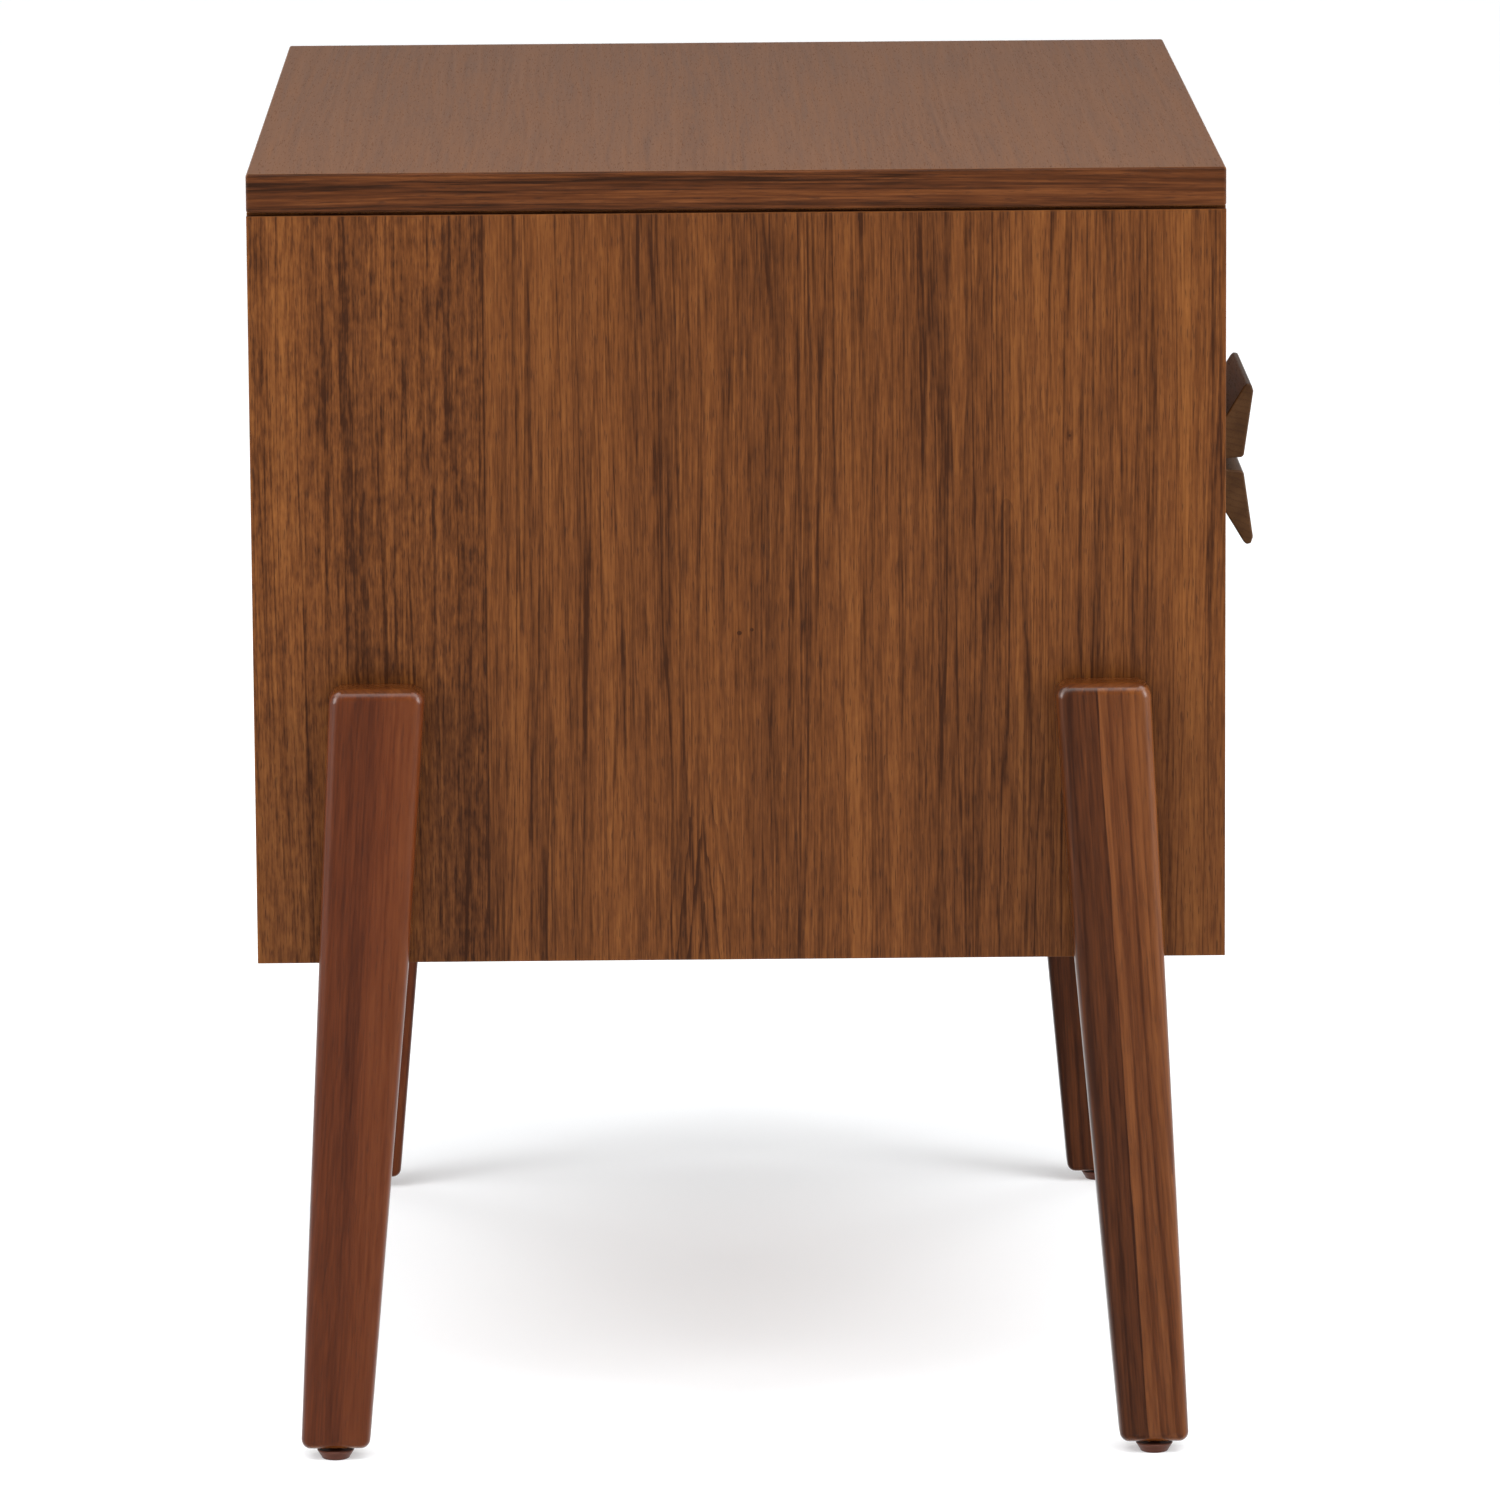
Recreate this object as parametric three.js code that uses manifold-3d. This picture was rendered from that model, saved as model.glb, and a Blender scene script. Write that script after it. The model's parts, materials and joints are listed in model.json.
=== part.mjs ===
// Side table with two drawers: a veneered case held between four tapered legs.
// Millimetres, +Z up. X is the width, the drawers open towards -Y, and the origin is on the floor
// under the middle of the outline.
import * as THREE from "three";
import { mergeVertices } from "three/addons/utils/BufferGeometryUtils.js";
import Module from "manifold-3d";

const wasm = await Module();
wasm.setup();

// ---- Driving dimensions ----
const TOTAL_WIDTH = 600;
const TOTAL_HEIGHT = 603;
const CASE_WIDTH = 560;
const CASE_DEPTH = 450;
const CASE_BOTTOM = 234;
const BOARD = 18;
const BOX_BOARD = 12;
const THIN_BOARD = 6;
const GAP = 0.3;
const REVEAL = 3;

const TOP_EDGE_RADIUS = 1.2;
const SHADOW_LINE_HEIGHT = 1.4;
const SHADOW_LINE_DEPTH = 5;
const BACK_REBATE_WIDTH = 9;
const BACK_REBATE_DEPTH = 7;
const RAIL_WIDTH = 60;

// The line where the two drawer fronts meet, and how far the pulls stand out in front of them.
const SPLIT = 431.5;
const PULL_REACH = 26.5;
const PULL_LENGTH = 112;

const LEG_TOP = 366;
const LEG_BOTTOM = 5.5;
const LEG_EDGE_RADIUS = 2.5;
const LEG_TOP_CORNER = 7;
const LEG_FOOT_CORNER = 4;

const SLIDE_LENGTH = 350;
const SLIDE_HEIGHT = 36;
const SLIDE_SHEET = 1.2;
const SLIDE_CLEARANCE = 0.5;
// The height of the row of balls that runs between the flanges of two nested members.
const BALL_GAP = 2.6;

// How far a slide member's channel reaches out from the case side, or from the drawer side.
const SLIDE_REACH = { case: 9.5, middle: 10.5, drawer: 8.5 };

const SIDE_FACETS = 16;
const CURVE_STEPS = 4;
const EDGE_STEPS = 2;
// How far a cutting tool passes the face that it opens.
const PAST = 1;

// ---- Derived places ----
const FRONT_Y = PULL_REACH - (CASE_DEPTH + PULL_REACH) / 2;
const BACK_Y = FRONT_Y + CASE_DEPTH;
const TOP_UNDERSIDE = TOTAL_HEIGHT - BOARD;
const OUTER_X = CASE_WIDTH / 2;
const INNER_X = OUTER_X - BOARD;
const FLOOR_OF_CASE = CASE_BOTTOM + BOARD;
const REAR_LIMIT = BACK_Y - BACK_REBATE_DEPTH - GAP;

// ---- Materials ----
const wood = (color, roughness) => new THREE.MeshStandardMaterial({ color, roughness, metalness: 0 });
const metal = (color, roughness) => new THREE.MeshStandardMaterial({ color, roughness, metalness: 1 });

const veneer = wood(0x73462a, 0.5);
const topVeneer = wood(0x7d4f34, 0.42);
const legWood = wood(0x6e3a24, 0.35);
const pullWood = wood(0x4f3526, 0.5);
const boxWood = wood(0xc9a67a, 0.6);
const thinWood = wood(0xb89468, 0.65);
const slideSteel = metal(0xb4b6b8, 0.35);
const fastenerSteel = metal(0x9c9ea0, 0.4);
const glidePlastic = new THREE.MeshStandardMaterial({ color: 0x5a3226, roughness: 0.45, metalness: 0 });

// ---- Shape helpers ----
const AXES = {
  // Each row is where a shape's own x, y and extrusion direction point.
  alongX: [new THREE.Vector3(0, 1, 0), new THREE.Vector3(0, 0, 1), new THREE.Vector3(1, 0, 0)],
  alongY: [new THREE.Vector3(1, 0, 0), new THREE.Vector3(0, 0, 1), new THREE.Vector3(0, -1, 0)],
};

/** A closed geometry as a solid that can be cut. */
function solidOf(geometry) {
  const bare = geometry.clone();
  bare.deleteAttribute("normal");
  bare.deleteAttribute("uv");
  const welded = mergeVertices(bare);
  const vertProperties = new Float32Array(welded.attributes.position.array);
  const triVerts = new Uint32Array(welded.index.array);
  return new wasm.Manifold(new wasm.Mesh({ numProp: 3, vertProperties, triVerts }));
}

/** The geometry with every tool cut out of it. */
function cut(geometry, tools) {
  let solid = solidOf(geometry);
  for (const tool of tools) {
    solid = solid.subtract(solidOf(tool));
  }
  const mesh = solid.getMesh();
  const result = new THREE.BufferGeometry();
  result.setAttribute("position", new THREE.BufferAttribute(new Float32Array(mesh.vertProperties), 3));
  result.setIndex(new THREE.BufferAttribute(new Uint32Array(mesh.triVerts), 1));
  result.computeVertexNormals();
  return result;
}

function piece(name, geometry, material) {
  const mesh = new THREE.Mesh(geometry, material);
  mesh.name = name;
  return mesh;
}

/** A box between two corners, left in its parent's frame, to cut with. */
function boxTool(low, high) {
  const size = high.map((value, i) => value - low[i]);
  const centre = high.map((value, i) => (value + low[i]) / 2);
  return new THREE.BoxGeometry(...size).translate(...centre);
}

/** A board between two corners. Its tools are in the same frame as the corners. */
function board(name, material, low, high, tools = []) {
  const size = high.map((value, i) => value - low[i]);
  const centre = high.map((value, i) => (value + low[i]) / 2);
  let geometry = new THREE.BoxGeometry(...size);
  if (tools.length > 0) {
    const local = tools.map((tool) => tool.clone().translate(...centre.map((value) => -value)));
    geometry = cut(geometry, local);
  }
  const mesh = piece(name, geometry, material);
  mesh.position.set(...centre);
  return mesh;
}

/** A turned solid about the local Y axis, from [radius, height] pairs. */
function turned(pairs) {
  const profile = pairs.map(([radius, height]) => new THREE.Vector2(radius, height));
  return new THREE.LatheGeometry(profile, SIDE_FACETS);
}

/** A round tool from one height to another on the local Y axis. */
const rod = (radius, from, to) => turned([[0, from], [radius, from], [radius, to], [0, to]]);

const upright = (geometry) => geometry.rotateX(Math.PI / 2);
const pointingX = (geometry, side) => geometry.rotateZ(-side * Math.PI / 2);

/** A prism of a shape, or a shape with rounded long edges when edge is more than 0. */
function prism(shape, length, axis, edge = 0) {
  const geometry = new THREE.ExtrudeGeometry(shape, {
    depth: length - 2 * edge,
    bevelEnabled: edge > 0,
    bevelThickness: edge,
    bevelSize: edge,
    bevelOffset: -edge,
    bevelSegments: EDGE_STEPS,
    curveSegments: CURVE_STEPS,
  });
  geometry.translate(0, 0, edge);
  return geometry.applyMatrix4(new THREE.Matrix4().makeBasis(...AXES[axis]));
}

/** A closed outline through corners of [x, y, radius]; a corner with no radius stays sharp. */
function roundedOutline(corners) {
  const shape = new THREE.Shape();
  corners.forEach(([x, y, radius = 0], i) => {
    const corner = new THREE.Vector2(x, y);
    const before = new THREE.Vector2(...corners.at(i - 1).slice(0, 2));
    const after = new THREE.Vector2(...corners[(i + 1) % corners.length].slice(0, 2));
    const arrive = before.sub(corner).setLength(radius).add(corner);
    const leave = after.sub(corner).setLength(radius).add(corner);
    if (i === 0) {
      shape.moveTo(arrive.x, arrive.y);
    } else {
      shape.lineTo(arrive.x, arrive.y);
    }
    if (radius > 0) {
      shape.quadraticCurveTo(x, y, leave.x, leave.y);
    }
  });
  return shape;
}

// ---- Legs, their bolts and their levelling glides ----
// The leg's outline, as [distance in from the case's front or back edge, height, corner radius].
const FOOT_IN = { outer: 17.3, inner: 49.3 };
const LEG_OUTLINE = [
  [35.5, LEG_TOP, LEG_TOP_CORNER],
  [79.8, LEG_TOP, LEG_TOP_CORNER],
  [70.3, CASE_BOTTOM, 0],
  [FOOT_IN.inner, LEG_BOTTOM, LEG_FOOT_CORNER],
  [FOOT_IN.outer, LEG_BOTTOM, LEG_FOOT_CORNER],
];
const LEG_THICKNESS = (TOTAL_WIDTH - CASE_WIDTH) / 2 - GAP;
const LEG_MIDDLE_X = TOTAL_WIDTH / 2 - LEG_THICKNESS / 2;
const FOOT_CENTRE_IN = (FOOT_IN.inner + FOOT_IN.outer) / 2;

// [distance in from the case's edge, height] of each bolt, on the leg's middle line.
const BOLT_PLACES = { upper: [56.3, 344], lower: [51.3, 264] };
const BOLT = { shank: 3, tip: 1, head: 6, crown: 4.8, headHeight: 3.7, rim: 2.2, hole: 3.4, intoLeg: 13.5 };

const INSERT = { radius: 5, bore: 3.3, length: 16 };
const GLIDE = { base: 6.7, top: 8.6, height: 4.5, stem: 3, stemTop: 21, lip: 0.8 };
const INSERT_POCKET_TOP = LEG_BOTTOM + INSERT.length + REVEAL;

const SIDES = { left: -1, right: 1 };
const ENDS = { front: -1, rear: 1 };

/** The Y of a point that lies a distance in from the case's front or back edge. */
const inFrom = (end, distance) => (end < 0 ? FRONT_Y + distance : BACK_Y - distance);

/** A hole for one leg bolt, on one side of the case, from one X to another. */
function boltHole(side, end, [distance, height], fromX, toX) {
  const hole = rod(BOLT.hole, fromX, toX);
  return pointingX(hole, side).translate(0, inFrom(end, distance), height);
}

function leg(name, side, end) {
  const corners = LEG_OUTLINE.map(([distance, height, radius]) => [inFrom(end, distance), height, radius]);
  const innerFaceX = OUTER_X + GAP;
  const startX = side > 0 ? innerFaceX : -innerFaceX - LEG_THICKNESS;
  const blank = prism(roundedOutline(corners), LEG_THICKNESS, "alongX", LEG_EDGE_RADIUS);
  blank.translate(startX, 0, 0);
  const boltEnd = innerFaceX + BOLT.intoLeg + PAST;
  const tools = Object.values(BOLT_PLACES).map((place) => {
    return boltHole(side, end, place, OUTER_X - PAST, boltEnd);
  });
  const pocket = upright(rod(INSERT.radius + GAP, LEG_BOTTOM - PAST, INSERT_POCKET_TOP));
  tools.push(pocket.translate(side * LEG_MIDDLE_X, inFrom(end, FOOT_CENTRE_IN), 0));
  return piece(name, cut(blank, tools), legWood);
}

function legBolt(name, side, end, [distance, height]) {
  const length = BOARD + GAP + BOLT.intoLeg + GAP;
  const profile = [
    [0, -BOLT.headHeight],
    [BOLT.crown, -BOLT.headHeight],
    [BOLT.head, -BOLT.rim],
    [BOLT.head, 0],
    [BOLT.shank, 0],
    [BOLT.shank, length - BOLT.tip],
    [BOLT.shank - BOLT.tip, length],
    [0, length],
  ];
  const mesh = piece(name, pointingX(turned(profile), side), fastenerSteel);
  mesh.position.set(side * (INNER_X - GAP), inFrom(end, distance), height);
  return mesh;
}

function glideInsert(name, side, end) {
  const { radius, bore, length } = INSERT;
  const ring = [[bore, 0], [radius, 0], [radius, length], [bore, length], [bore, 0]];
  const mesh = piece(name, upright(turned(ring)), fastenerSteel);
  mesh.position.set(side * LEG_MIDDLE_X, inFrom(end, FOOT_CENTRE_IN), LEG_BOTTOM);
  return mesh;
}

function levellingGlide(name, side, end) {
  const profile = [
    [0, 0],
    [GLIDE.base - GLIDE.lip, 0],
    [GLIDE.base, GLIDE.lip],
    [GLIDE.top, GLIDE.height],
    [GLIDE.stem, GLIDE.height],
    [GLIDE.stem, GLIDE.stemTop],
    [0, GLIDE.stemTop],
  ];
  const mesh = piece(name, upright(turned(profile)), glidePlastic);
  mesh.position.set(side * LEG_MIDDLE_X, inFrom(end, FOOT_CENTRE_IN), 0);
  return mesh;
}

function addLegs(table) {
  for (const [sideName, side] of Object.entries(SIDES)) {
    for (const [endName, end] of Object.entries(ENDS)) {
      const place = `${endName}_${sideName}`;
      table.add(leg(`${place}_leg`, side, end));
      for (const [boltName, boltPlace] of Object.entries(BOLT_PLACES)) {
        table.add(legBolt(`${place}_${boltName}_leg_bolt`, side, end, boltPlace));
      }
      table.add(glideInsert(`${place}_glide_insert`, side, end));
      table.add(levellingGlide(`${place}_glide`, side, end));
    }
  }
}

// ---- Case ----
function topPanel() {
  const half = CASE_DEPTH / 2;
  const outline = [[-OUTER_X, -half], [OUTER_X, -half], [OUTER_X, half], [-OUTER_X, half]];
  const shape = new THREE.Shape(outline.map(([x, y]) => new THREE.Vector2(x, y)));
  const geometry = new THREE.ExtrudeGeometry(shape, {
    depth: BOARD - 2 * TOP_EDGE_RADIUS,
    bevelThickness: TOP_EDGE_RADIUS,
    bevelSize: TOP_EDGE_RADIUS,
    bevelOffset: -TOP_EDGE_RADIUS,
    bevelSegments: EDGE_STEPS,
  });
  const mesh = piece("top_panel", geometry, topVeneer);
  mesh.position.set(0, FRONT_Y + half, TOP_UNDERSIDE + TOP_EDGE_RADIUS);
  return mesh;
}

function sidePanel(name, side) {
  const top = TOP_UNDERSIDE - GAP;
  const innerX = side * INNER_X;
  const outerX = side * OUTER_X;
  const lowX = Math.min(innerX, outerX);
  const highX = Math.max(innerX, outerX);
  const notchX = side * (OUTER_X - SHADOW_LINE_DEPTH);
  const past = side * (OUTER_X + PAST);
  const shadowLine = boxTool(
    [Math.min(notchX, past), FRONT_Y - PAST, TOP_UNDERSIDE - SHADOW_LINE_HEIGHT],
    [Math.max(notchX, past), BACK_Y + PAST, top + PAST],
  );
  const rebateX = side * (INNER_X + BACK_REBATE_WIDTH);
  const inside = side * (INNER_X - PAST);
  const backRebate = boxTool(
    [Math.min(rebateX, inside), BACK_Y - BACK_REBATE_DEPTH, CASE_BOTTOM - PAST],
    [Math.max(rebateX, inside), BACK_Y + PAST, top + PAST],
  );
  const holes = Object.values(ENDS).flatMap((end) =>
    Object.values(BOLT_PLACES).map((place) => boltHole(side, end, place, INNER_X - PAST, OUTER_X + PAST)),
  );
  const tools = [shadowLine, backRebate, ...holes];
  return board(name, veneer, [lowX, FRONT_Y, CASE_BOTTOM], [highX, BACK_Y, top], tools);
}

function addCase(table) {
  const insideX = INNER_X - GAP;
  const railTop = TOP_UNDERSIDE - GAP;
  const railFrontY = FRONT_Y + BOARD + REVEAL;
  const backX = INNER_X + BACK_REBATE_WIDTH - GAP;
  const backY = BACK_Y - BACK_REBATE_DEPTH + GAP;
  table.add(topPanel());
  table.add(sidePanel("left_side_panel", SIDES.left));
  table.add(sidePanel("right_side_panel", SIDES.right));
  table.add(board("bottom_panel", veneer,
    [-insideX, FRONT_Y, CASE_BOTTOM], [insideX, REAR_LIMIT, FLOOR_OF_CASE]));
  table.add(board("back_panel", thinWood,
    [-backX, backY, CASE_BOTTOM], [backX, backY + THIN_BOARD, railTop]));
  const rail = (name, lowY, lowZ) =>
    board(name, veneer, [-insideX, lowY, lowZ], [insideX, lowY + RAIL_WIDTH, lowZ + BOARD]);
  table.add(rail("top_front_rail", railFrontY, railTop - BOARD));
  table.add(rail("top_rear_rail", REAR_LIMIT - RAIL_WIDTH, railTop - BOARD));
  table.add(rail("mid_rail", railFrontY, SPLIT - BOARD / 2));
}

// ---- Drawer slides ----
// Three channels nest in each other: one on the case, one in the middle and one on the drawer.
const BOX_HALF_WIDTH = 249;
const SLIDE_REAR_Y = FRONT_Y + BOARD + REVEAL + SLIDE_LENGTH;

/** A channel's section, from its web's X to its flanges' ends, with side +1 for the right of the case. */
function channel(webX, flangeEndX, halfHeight, side) {
  const towards = Math.sign(flangeEndX - webX);
  const inX = webX + towards * SLIDE_SHEET;
  const inZ = halfHeight - SLIDE_SHEET;
  const outline = [
    [webX, -halfHeight], [flangeEndX, -halfHeight], [flangeEndX, -inZ], [inX, -inZ],
    [inX, inZ], [flangeEndX, inZ], [flangeEndX, halfHeight], [webX, halfHeight],
  ];
  return new THREE.Shape(outline.map(([x, z]) => new THREE.Vector2(side * x, z)));
}

// Each member as [its web's X, its flanges' ends' X, its half height], on the right of the case.
const WEB_STEP = SLIDE_SHEET + SLIDE_CLEARANCE;
const FLANGE_STEP = SLIDE_SHEET + BALL_GAP;
const SLIDE_MEMBERS = {
  case: [INNER_X - GAP, INNER_X - SLIDE_REACH.case, SLIDE_HEIGHT / 2],
  middle: [INNER_X - GAP - WEB_STEP, INNER_X - SLIDE_REACH.middle, SLIDE_HEIGHT / 2 - FLANGE_STEP],
  drawer: [BOX_HALF_WIDTH + GAP, BOX_HALF_WIDTH + SLIDE_REACH.drawer, SLIDE_HEIGHT / 2 - 2 * FLANGE_STEP],
};

function slideMember(name, member, side, height) {
  const shape = channel(...SLIDE_MEMBERS[member], side);
  const mesh = piece(name, prism(shape, SLIDE_LENGTH, "alongY"), slideSteel);
  mesh.position.set(0, SLIDE_REAR_Y, height);
  return mesh;
}

// ---- Drawers ----
const BOX_LENGTH = 390;
const BOX_INNER_X = BOX_HALF_WIDTH - BOX_BOARD;
const FRONT_SIDE_REVEAL = 1.5;
const GROOVE_DEPTH = 6;
const GROOVE_HEIGHT_UP = 12;

const SCREW = { shank: 1.9, hole: 2.4, head: 3.8, headHeight: 2.4, counterbore: 4.4, sunk: 3, intoPull: 8.5 };
const SCREW_SPACING = 64;
const SCREW_RISE = 8;

// The pull's section, as [distance out from the drawer front, distance from the split line].
const PULL_FOOT = [[GAP, 1.5], [21.8, 3.4]];
const PULL_LIP = [[PULL_REACH, 35.8], [25.4, 39], [23.2, 39.4], [21.8, 38]];
const PULL_HOLLOW = { lip: [9.5, 17.5], bend: [6.5, 12.8], front: [GAP, 14.5] };

const DRAWERS = {
  upper: { frontZ: [SPLIT + REVEAL / 2, TOP_UNDERSIDE - REVEAL], boxZ: [444, 560], slideZ: 490, away: 1 },
  lower: { frontZ: [FLOOR_OF_CASE + REVEAL, SPLIT - REVEAL / 2], boxZ: [264, 418], slideZ: 305, away: -1 },
};

/** A pull, extruded along X, whose lip points away from the split line between the drawers. */
function pull(name, away) {
  const at = ([out, rise]) => [FRONT_Y - out, SPLIT + away * rise];
  const shape = new THREE.Shape();
  shape.moveTo(...at(PULL_FOOT[0]));
  for (const corner of [PULL_FOOT[1], ...PULL_LIP, PULL_HOLLOW.lip]) {
    shape.lineTo(...at(corner));
  }
  shape.quadraticCurveTo(...at(PULL_HOLLOW.bend), ...at(PULL_HOLLOW.front));
  const blank = prism(shape, PULL_LENGTH, "alongX").translate(-PULL_LENGTH / 2, 0, 0);
  const holes = screwPlaces(away).map(([x, z]) => {
    const hole = rod(SCREW.hole, -PAST, SCREW.intoPull + PAST);
    return hole.rotateX(Math.PI).translate(x, FRONT_Y, z);
  });
  return piece(name, cut(blank, holes), pullWood);
}

/** The [X, height] of each pull screw. */
function screwPlaces(away) {
  return [-SCREW_SPACING / 2, SCREW_SPACING / 2].map((x) => [x, SPLIT + away * SCREW_RISE]);
}

function pullScrew(name, [x, z]) {
  const length = BOARD - SCREW.sunk + SCREW.intoPull;
  const profile = [
    [0, -SCREW.headHeight],
    [SCREW.head, -SCREW.headHeight],
    [SCREW.head, 0],
    [SCREW.shank, 0],
    [SCREW.shank, length],
    [0, length],
  ];
  const mesh = piece(name, turned(profile).rotateX(Math.PI), fastenerSteel);
  mesh.position.set(x, FRONT_Y + BOARD - SCREW.sunk + GAP, z);
  return mesh;
}

/** The holes in a drawer front that its pull screws pass through, with room for their heads. */
function screwHoles(away) {
  return screwPlaces(away).flatMap(([x, z]) => {
    const through = rod(SCREW.hole, -PAST, BOARD + PAST).translate(x, FRONT_Y, z);
    const sunk = rod(SCREW.counterbore, BOARD - SCREW.sunk, BOARD + PAST).translate(x, FRONT_Y, z);
    return [through, sunk];
  });
}

function addDrawer(table, name, { frontZ, boxZ, slideZ, away }) {
  const frontX = INNER_X - FRONT_SIDE_REVEAL;
  const [boxLow, boxHigh] = boxZ;
  const boxFrontY = FRONT_Y + BOARD + GAP;
  const boxRearY = boxFrontY + BOX_LENGTH;
  const crossX = BOX_INNER_X - GAP;
  const grooveLow = boxLow + GROOVE_HEIGHT_UP;
  const groove = boxTool(
    [-BOX_INNER_X - GROOVE_DEPTH, boxFrontY + BOX_BOARD - GROOVE_DEPTH, grooveLow],
    [BOX_INNER_X + GROOVE_DEPTH, boxRearY - BOX_BOARD + GROOVE_DEPTH, grooveLow + THIN_BOARD + 2 * GAP],
  );
  const drawer = new THREE.Group();
  drawer.add(board(`${name}_drawer_front`, veneer,
    [-frontX, FRONT_Y, frontZ[0]], [frontX, FRONT_Y + BOARD, frontZ[1]], screwHoles(away)));
  drawer.add(board(`${name}_drawer_box_front`, boxWood,
    [-crossX, boxFrontY, boxLow], [crossX, boxFrontY + BOX_BOARD, boxHigh], [groove]));
  drawer.add(board(`${name}_drawer_back`, boxWood,
    [-crossX, boxRearY - BOX_BOARD, boxLow], [crossX, boxRearY, boxHigh], [groove]));
  for (const [sideName, side] of Object.entries(SIDES)) {
    const edges = [side * BOX_INNER_X, side * BOX_HALF_WIDTH];
    drawer.add(board(`${name}_drawer_${sideName}_side`, boxWood,
      [Math.min(...edges), boxFrontY, boxLow], [Math.max(...edges), boxRearY, boxHigh], [groove]));
    drawer.add(slideMember(`${name}_${sideName}_slide_drawer_member`, "drawer", side, slideZ));
    table.add(slideMember(`${name}_${sideName}_slide_middle_member`, "middle", side, slideZ));
    table.add(slideMember(`${name}_${sideName}_slide_case_member`, "case", side, slideZ));
  }
  const floorX = BOX_INNER_X + GROOVE_DEPTH - GAP;
  const floorInset = BOX_BOARD - GROOVE_DEPTH + GAP;
  drawer.add(board(`${name}_drawer_bottom`, thinWood,
    [-floorX, boxFrontY + floorInset, grooveLow + GAP],
    [floorX, boxRearY - floorInset, grooveLow + GAP + THIN_BOARD]));
  drawer.add(pull(`${name}_pull`, away));
  screwPlaces(away).forEach((place, i) => {
    const sideName = Object.keys(SIDES)[i];
    drawer.add(pullScrew(`${name}_pull_${sideName}_screw`, place));
  });
  table.add(drawer);
}

// ---- The table ----
const group = new THREE.Group();
addCase(group);
addLegs(group);
for (const [name, sizes] of Object.entries(DRAWERS)) {
  addDrawer(group, name, sizes);
}

export default group;
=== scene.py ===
"""The looks of a walnut side table with two drawers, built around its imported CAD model, in metres.

X is the width, the drawers open towards -Y, +Z is up and the origin is on the floor under the middle.
Every wooden, metal and plastic piece is a refined mesh that stands for its CAD node and moves with the
same body. The materials are procedural and read only each piece's own coordinates.
"""

import json
import math
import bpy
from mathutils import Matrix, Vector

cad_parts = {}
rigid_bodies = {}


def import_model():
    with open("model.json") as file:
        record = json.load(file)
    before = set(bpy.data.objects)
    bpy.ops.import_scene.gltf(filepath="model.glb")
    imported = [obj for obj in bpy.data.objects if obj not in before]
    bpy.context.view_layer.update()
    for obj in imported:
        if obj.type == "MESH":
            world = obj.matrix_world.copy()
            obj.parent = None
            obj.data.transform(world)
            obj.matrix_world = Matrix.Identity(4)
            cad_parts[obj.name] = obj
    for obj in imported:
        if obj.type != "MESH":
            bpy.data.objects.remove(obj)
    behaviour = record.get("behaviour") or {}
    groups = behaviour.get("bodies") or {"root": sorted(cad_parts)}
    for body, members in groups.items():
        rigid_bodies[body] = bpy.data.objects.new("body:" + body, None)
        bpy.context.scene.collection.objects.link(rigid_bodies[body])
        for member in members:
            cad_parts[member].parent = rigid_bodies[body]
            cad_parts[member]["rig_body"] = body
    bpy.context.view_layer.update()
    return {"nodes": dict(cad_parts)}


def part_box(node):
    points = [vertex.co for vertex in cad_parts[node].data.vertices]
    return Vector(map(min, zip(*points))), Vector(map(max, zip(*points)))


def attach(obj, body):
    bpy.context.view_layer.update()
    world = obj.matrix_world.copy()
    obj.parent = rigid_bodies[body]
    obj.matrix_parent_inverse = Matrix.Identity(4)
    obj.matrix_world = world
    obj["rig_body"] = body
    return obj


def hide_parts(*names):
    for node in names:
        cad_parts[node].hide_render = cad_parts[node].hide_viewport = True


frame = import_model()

from types import SimpleNamespace as Group

import bmesh
import bpy
from mathutils import Matrix, Vector

MM = 0.001

SIDES = {"left": -1, "right": 1}
ENDS = {"front": -1, "rear": 1}
DRAWERS = {"upper": 1, "lower": -1}
AXIS = {"X": 0, "Y": 1, "Z": 2}

# How far the legs lean out towards their feet.
LEG_LEAN = math.radians(3.9)

CASE_LOW, CASE_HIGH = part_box("left_side_panel")
CASE_FRONT, CASE_BACK = CASE_LOW.y, CASE_HIGH.y
CASE_DEPTH = CASE_BACK - CASE_FRONT


# ---- Camera, light and floor ----
CAMERA_PLACE = Vector((-4.718, 0.0499, 1.1297))
CAMERA_RIGHT = Vector((-0.01048, -0.99993, -0.00666))
CAMERA_UP = Vector((0.17661, -0.00841, 0.98425))
CAMERA_LENS = 233.5
SENSOR_WIDTH = 36
CAMERA_REACH = 200

# Each softbox as [name, place, width, height, power in watts]; all of them face AIM.
AIM = Vector((0, 0, 0.35))
SOFTBOXES = [
    ["softbox_front", (-1.4, -2.7, 1.2), 1.3, 1.7, 47],
    ["softbox_rear", (-1.4, 2.7, 1.2), 1.3, 1.7, 47],
    ["softbox_high_front", (-0.5, -1.5, 2.2), 1.7, 1.2, 20],
    ["softbox_high_rear", (-0.5, 1.5, 2.2), 1.7, 1.2, 20],
    ["softbox_top", (-1.25, 0, 1.95), 1.8, 1.0, 11],
    ["softbox_back_front", (2.5, -1.9, 1.2), 1.2, 1.4, 16],
    ["softbox_back_rear", (2.5, 1.9, 1.2), 1.2, 1.4, 16],
]
# A wide light that falls on the floor alone, slanting down from the camera's side.
FLOOR_LIGHT = 2.5
FLOOR_LIGHT_SPREAD = math.radians(75)
FLOOR_LIGHT_TURN = (math.radians(3), math.radians(-39), 0)
# The studio's brightness as [towards the camera's side, behind the table], above and below the horizon.
SKY_ABOVE = [0.1, 0.34]
SKY_BELOW = [0.04, 0.7]
# Where each of the two changes takes place, as a part of the direction's X and of its Z.
SKY_BEHIND = [-0.25, 0.6]
HORIZON = [-0.03, 0.03]
FLOOR_HALF = 60
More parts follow.
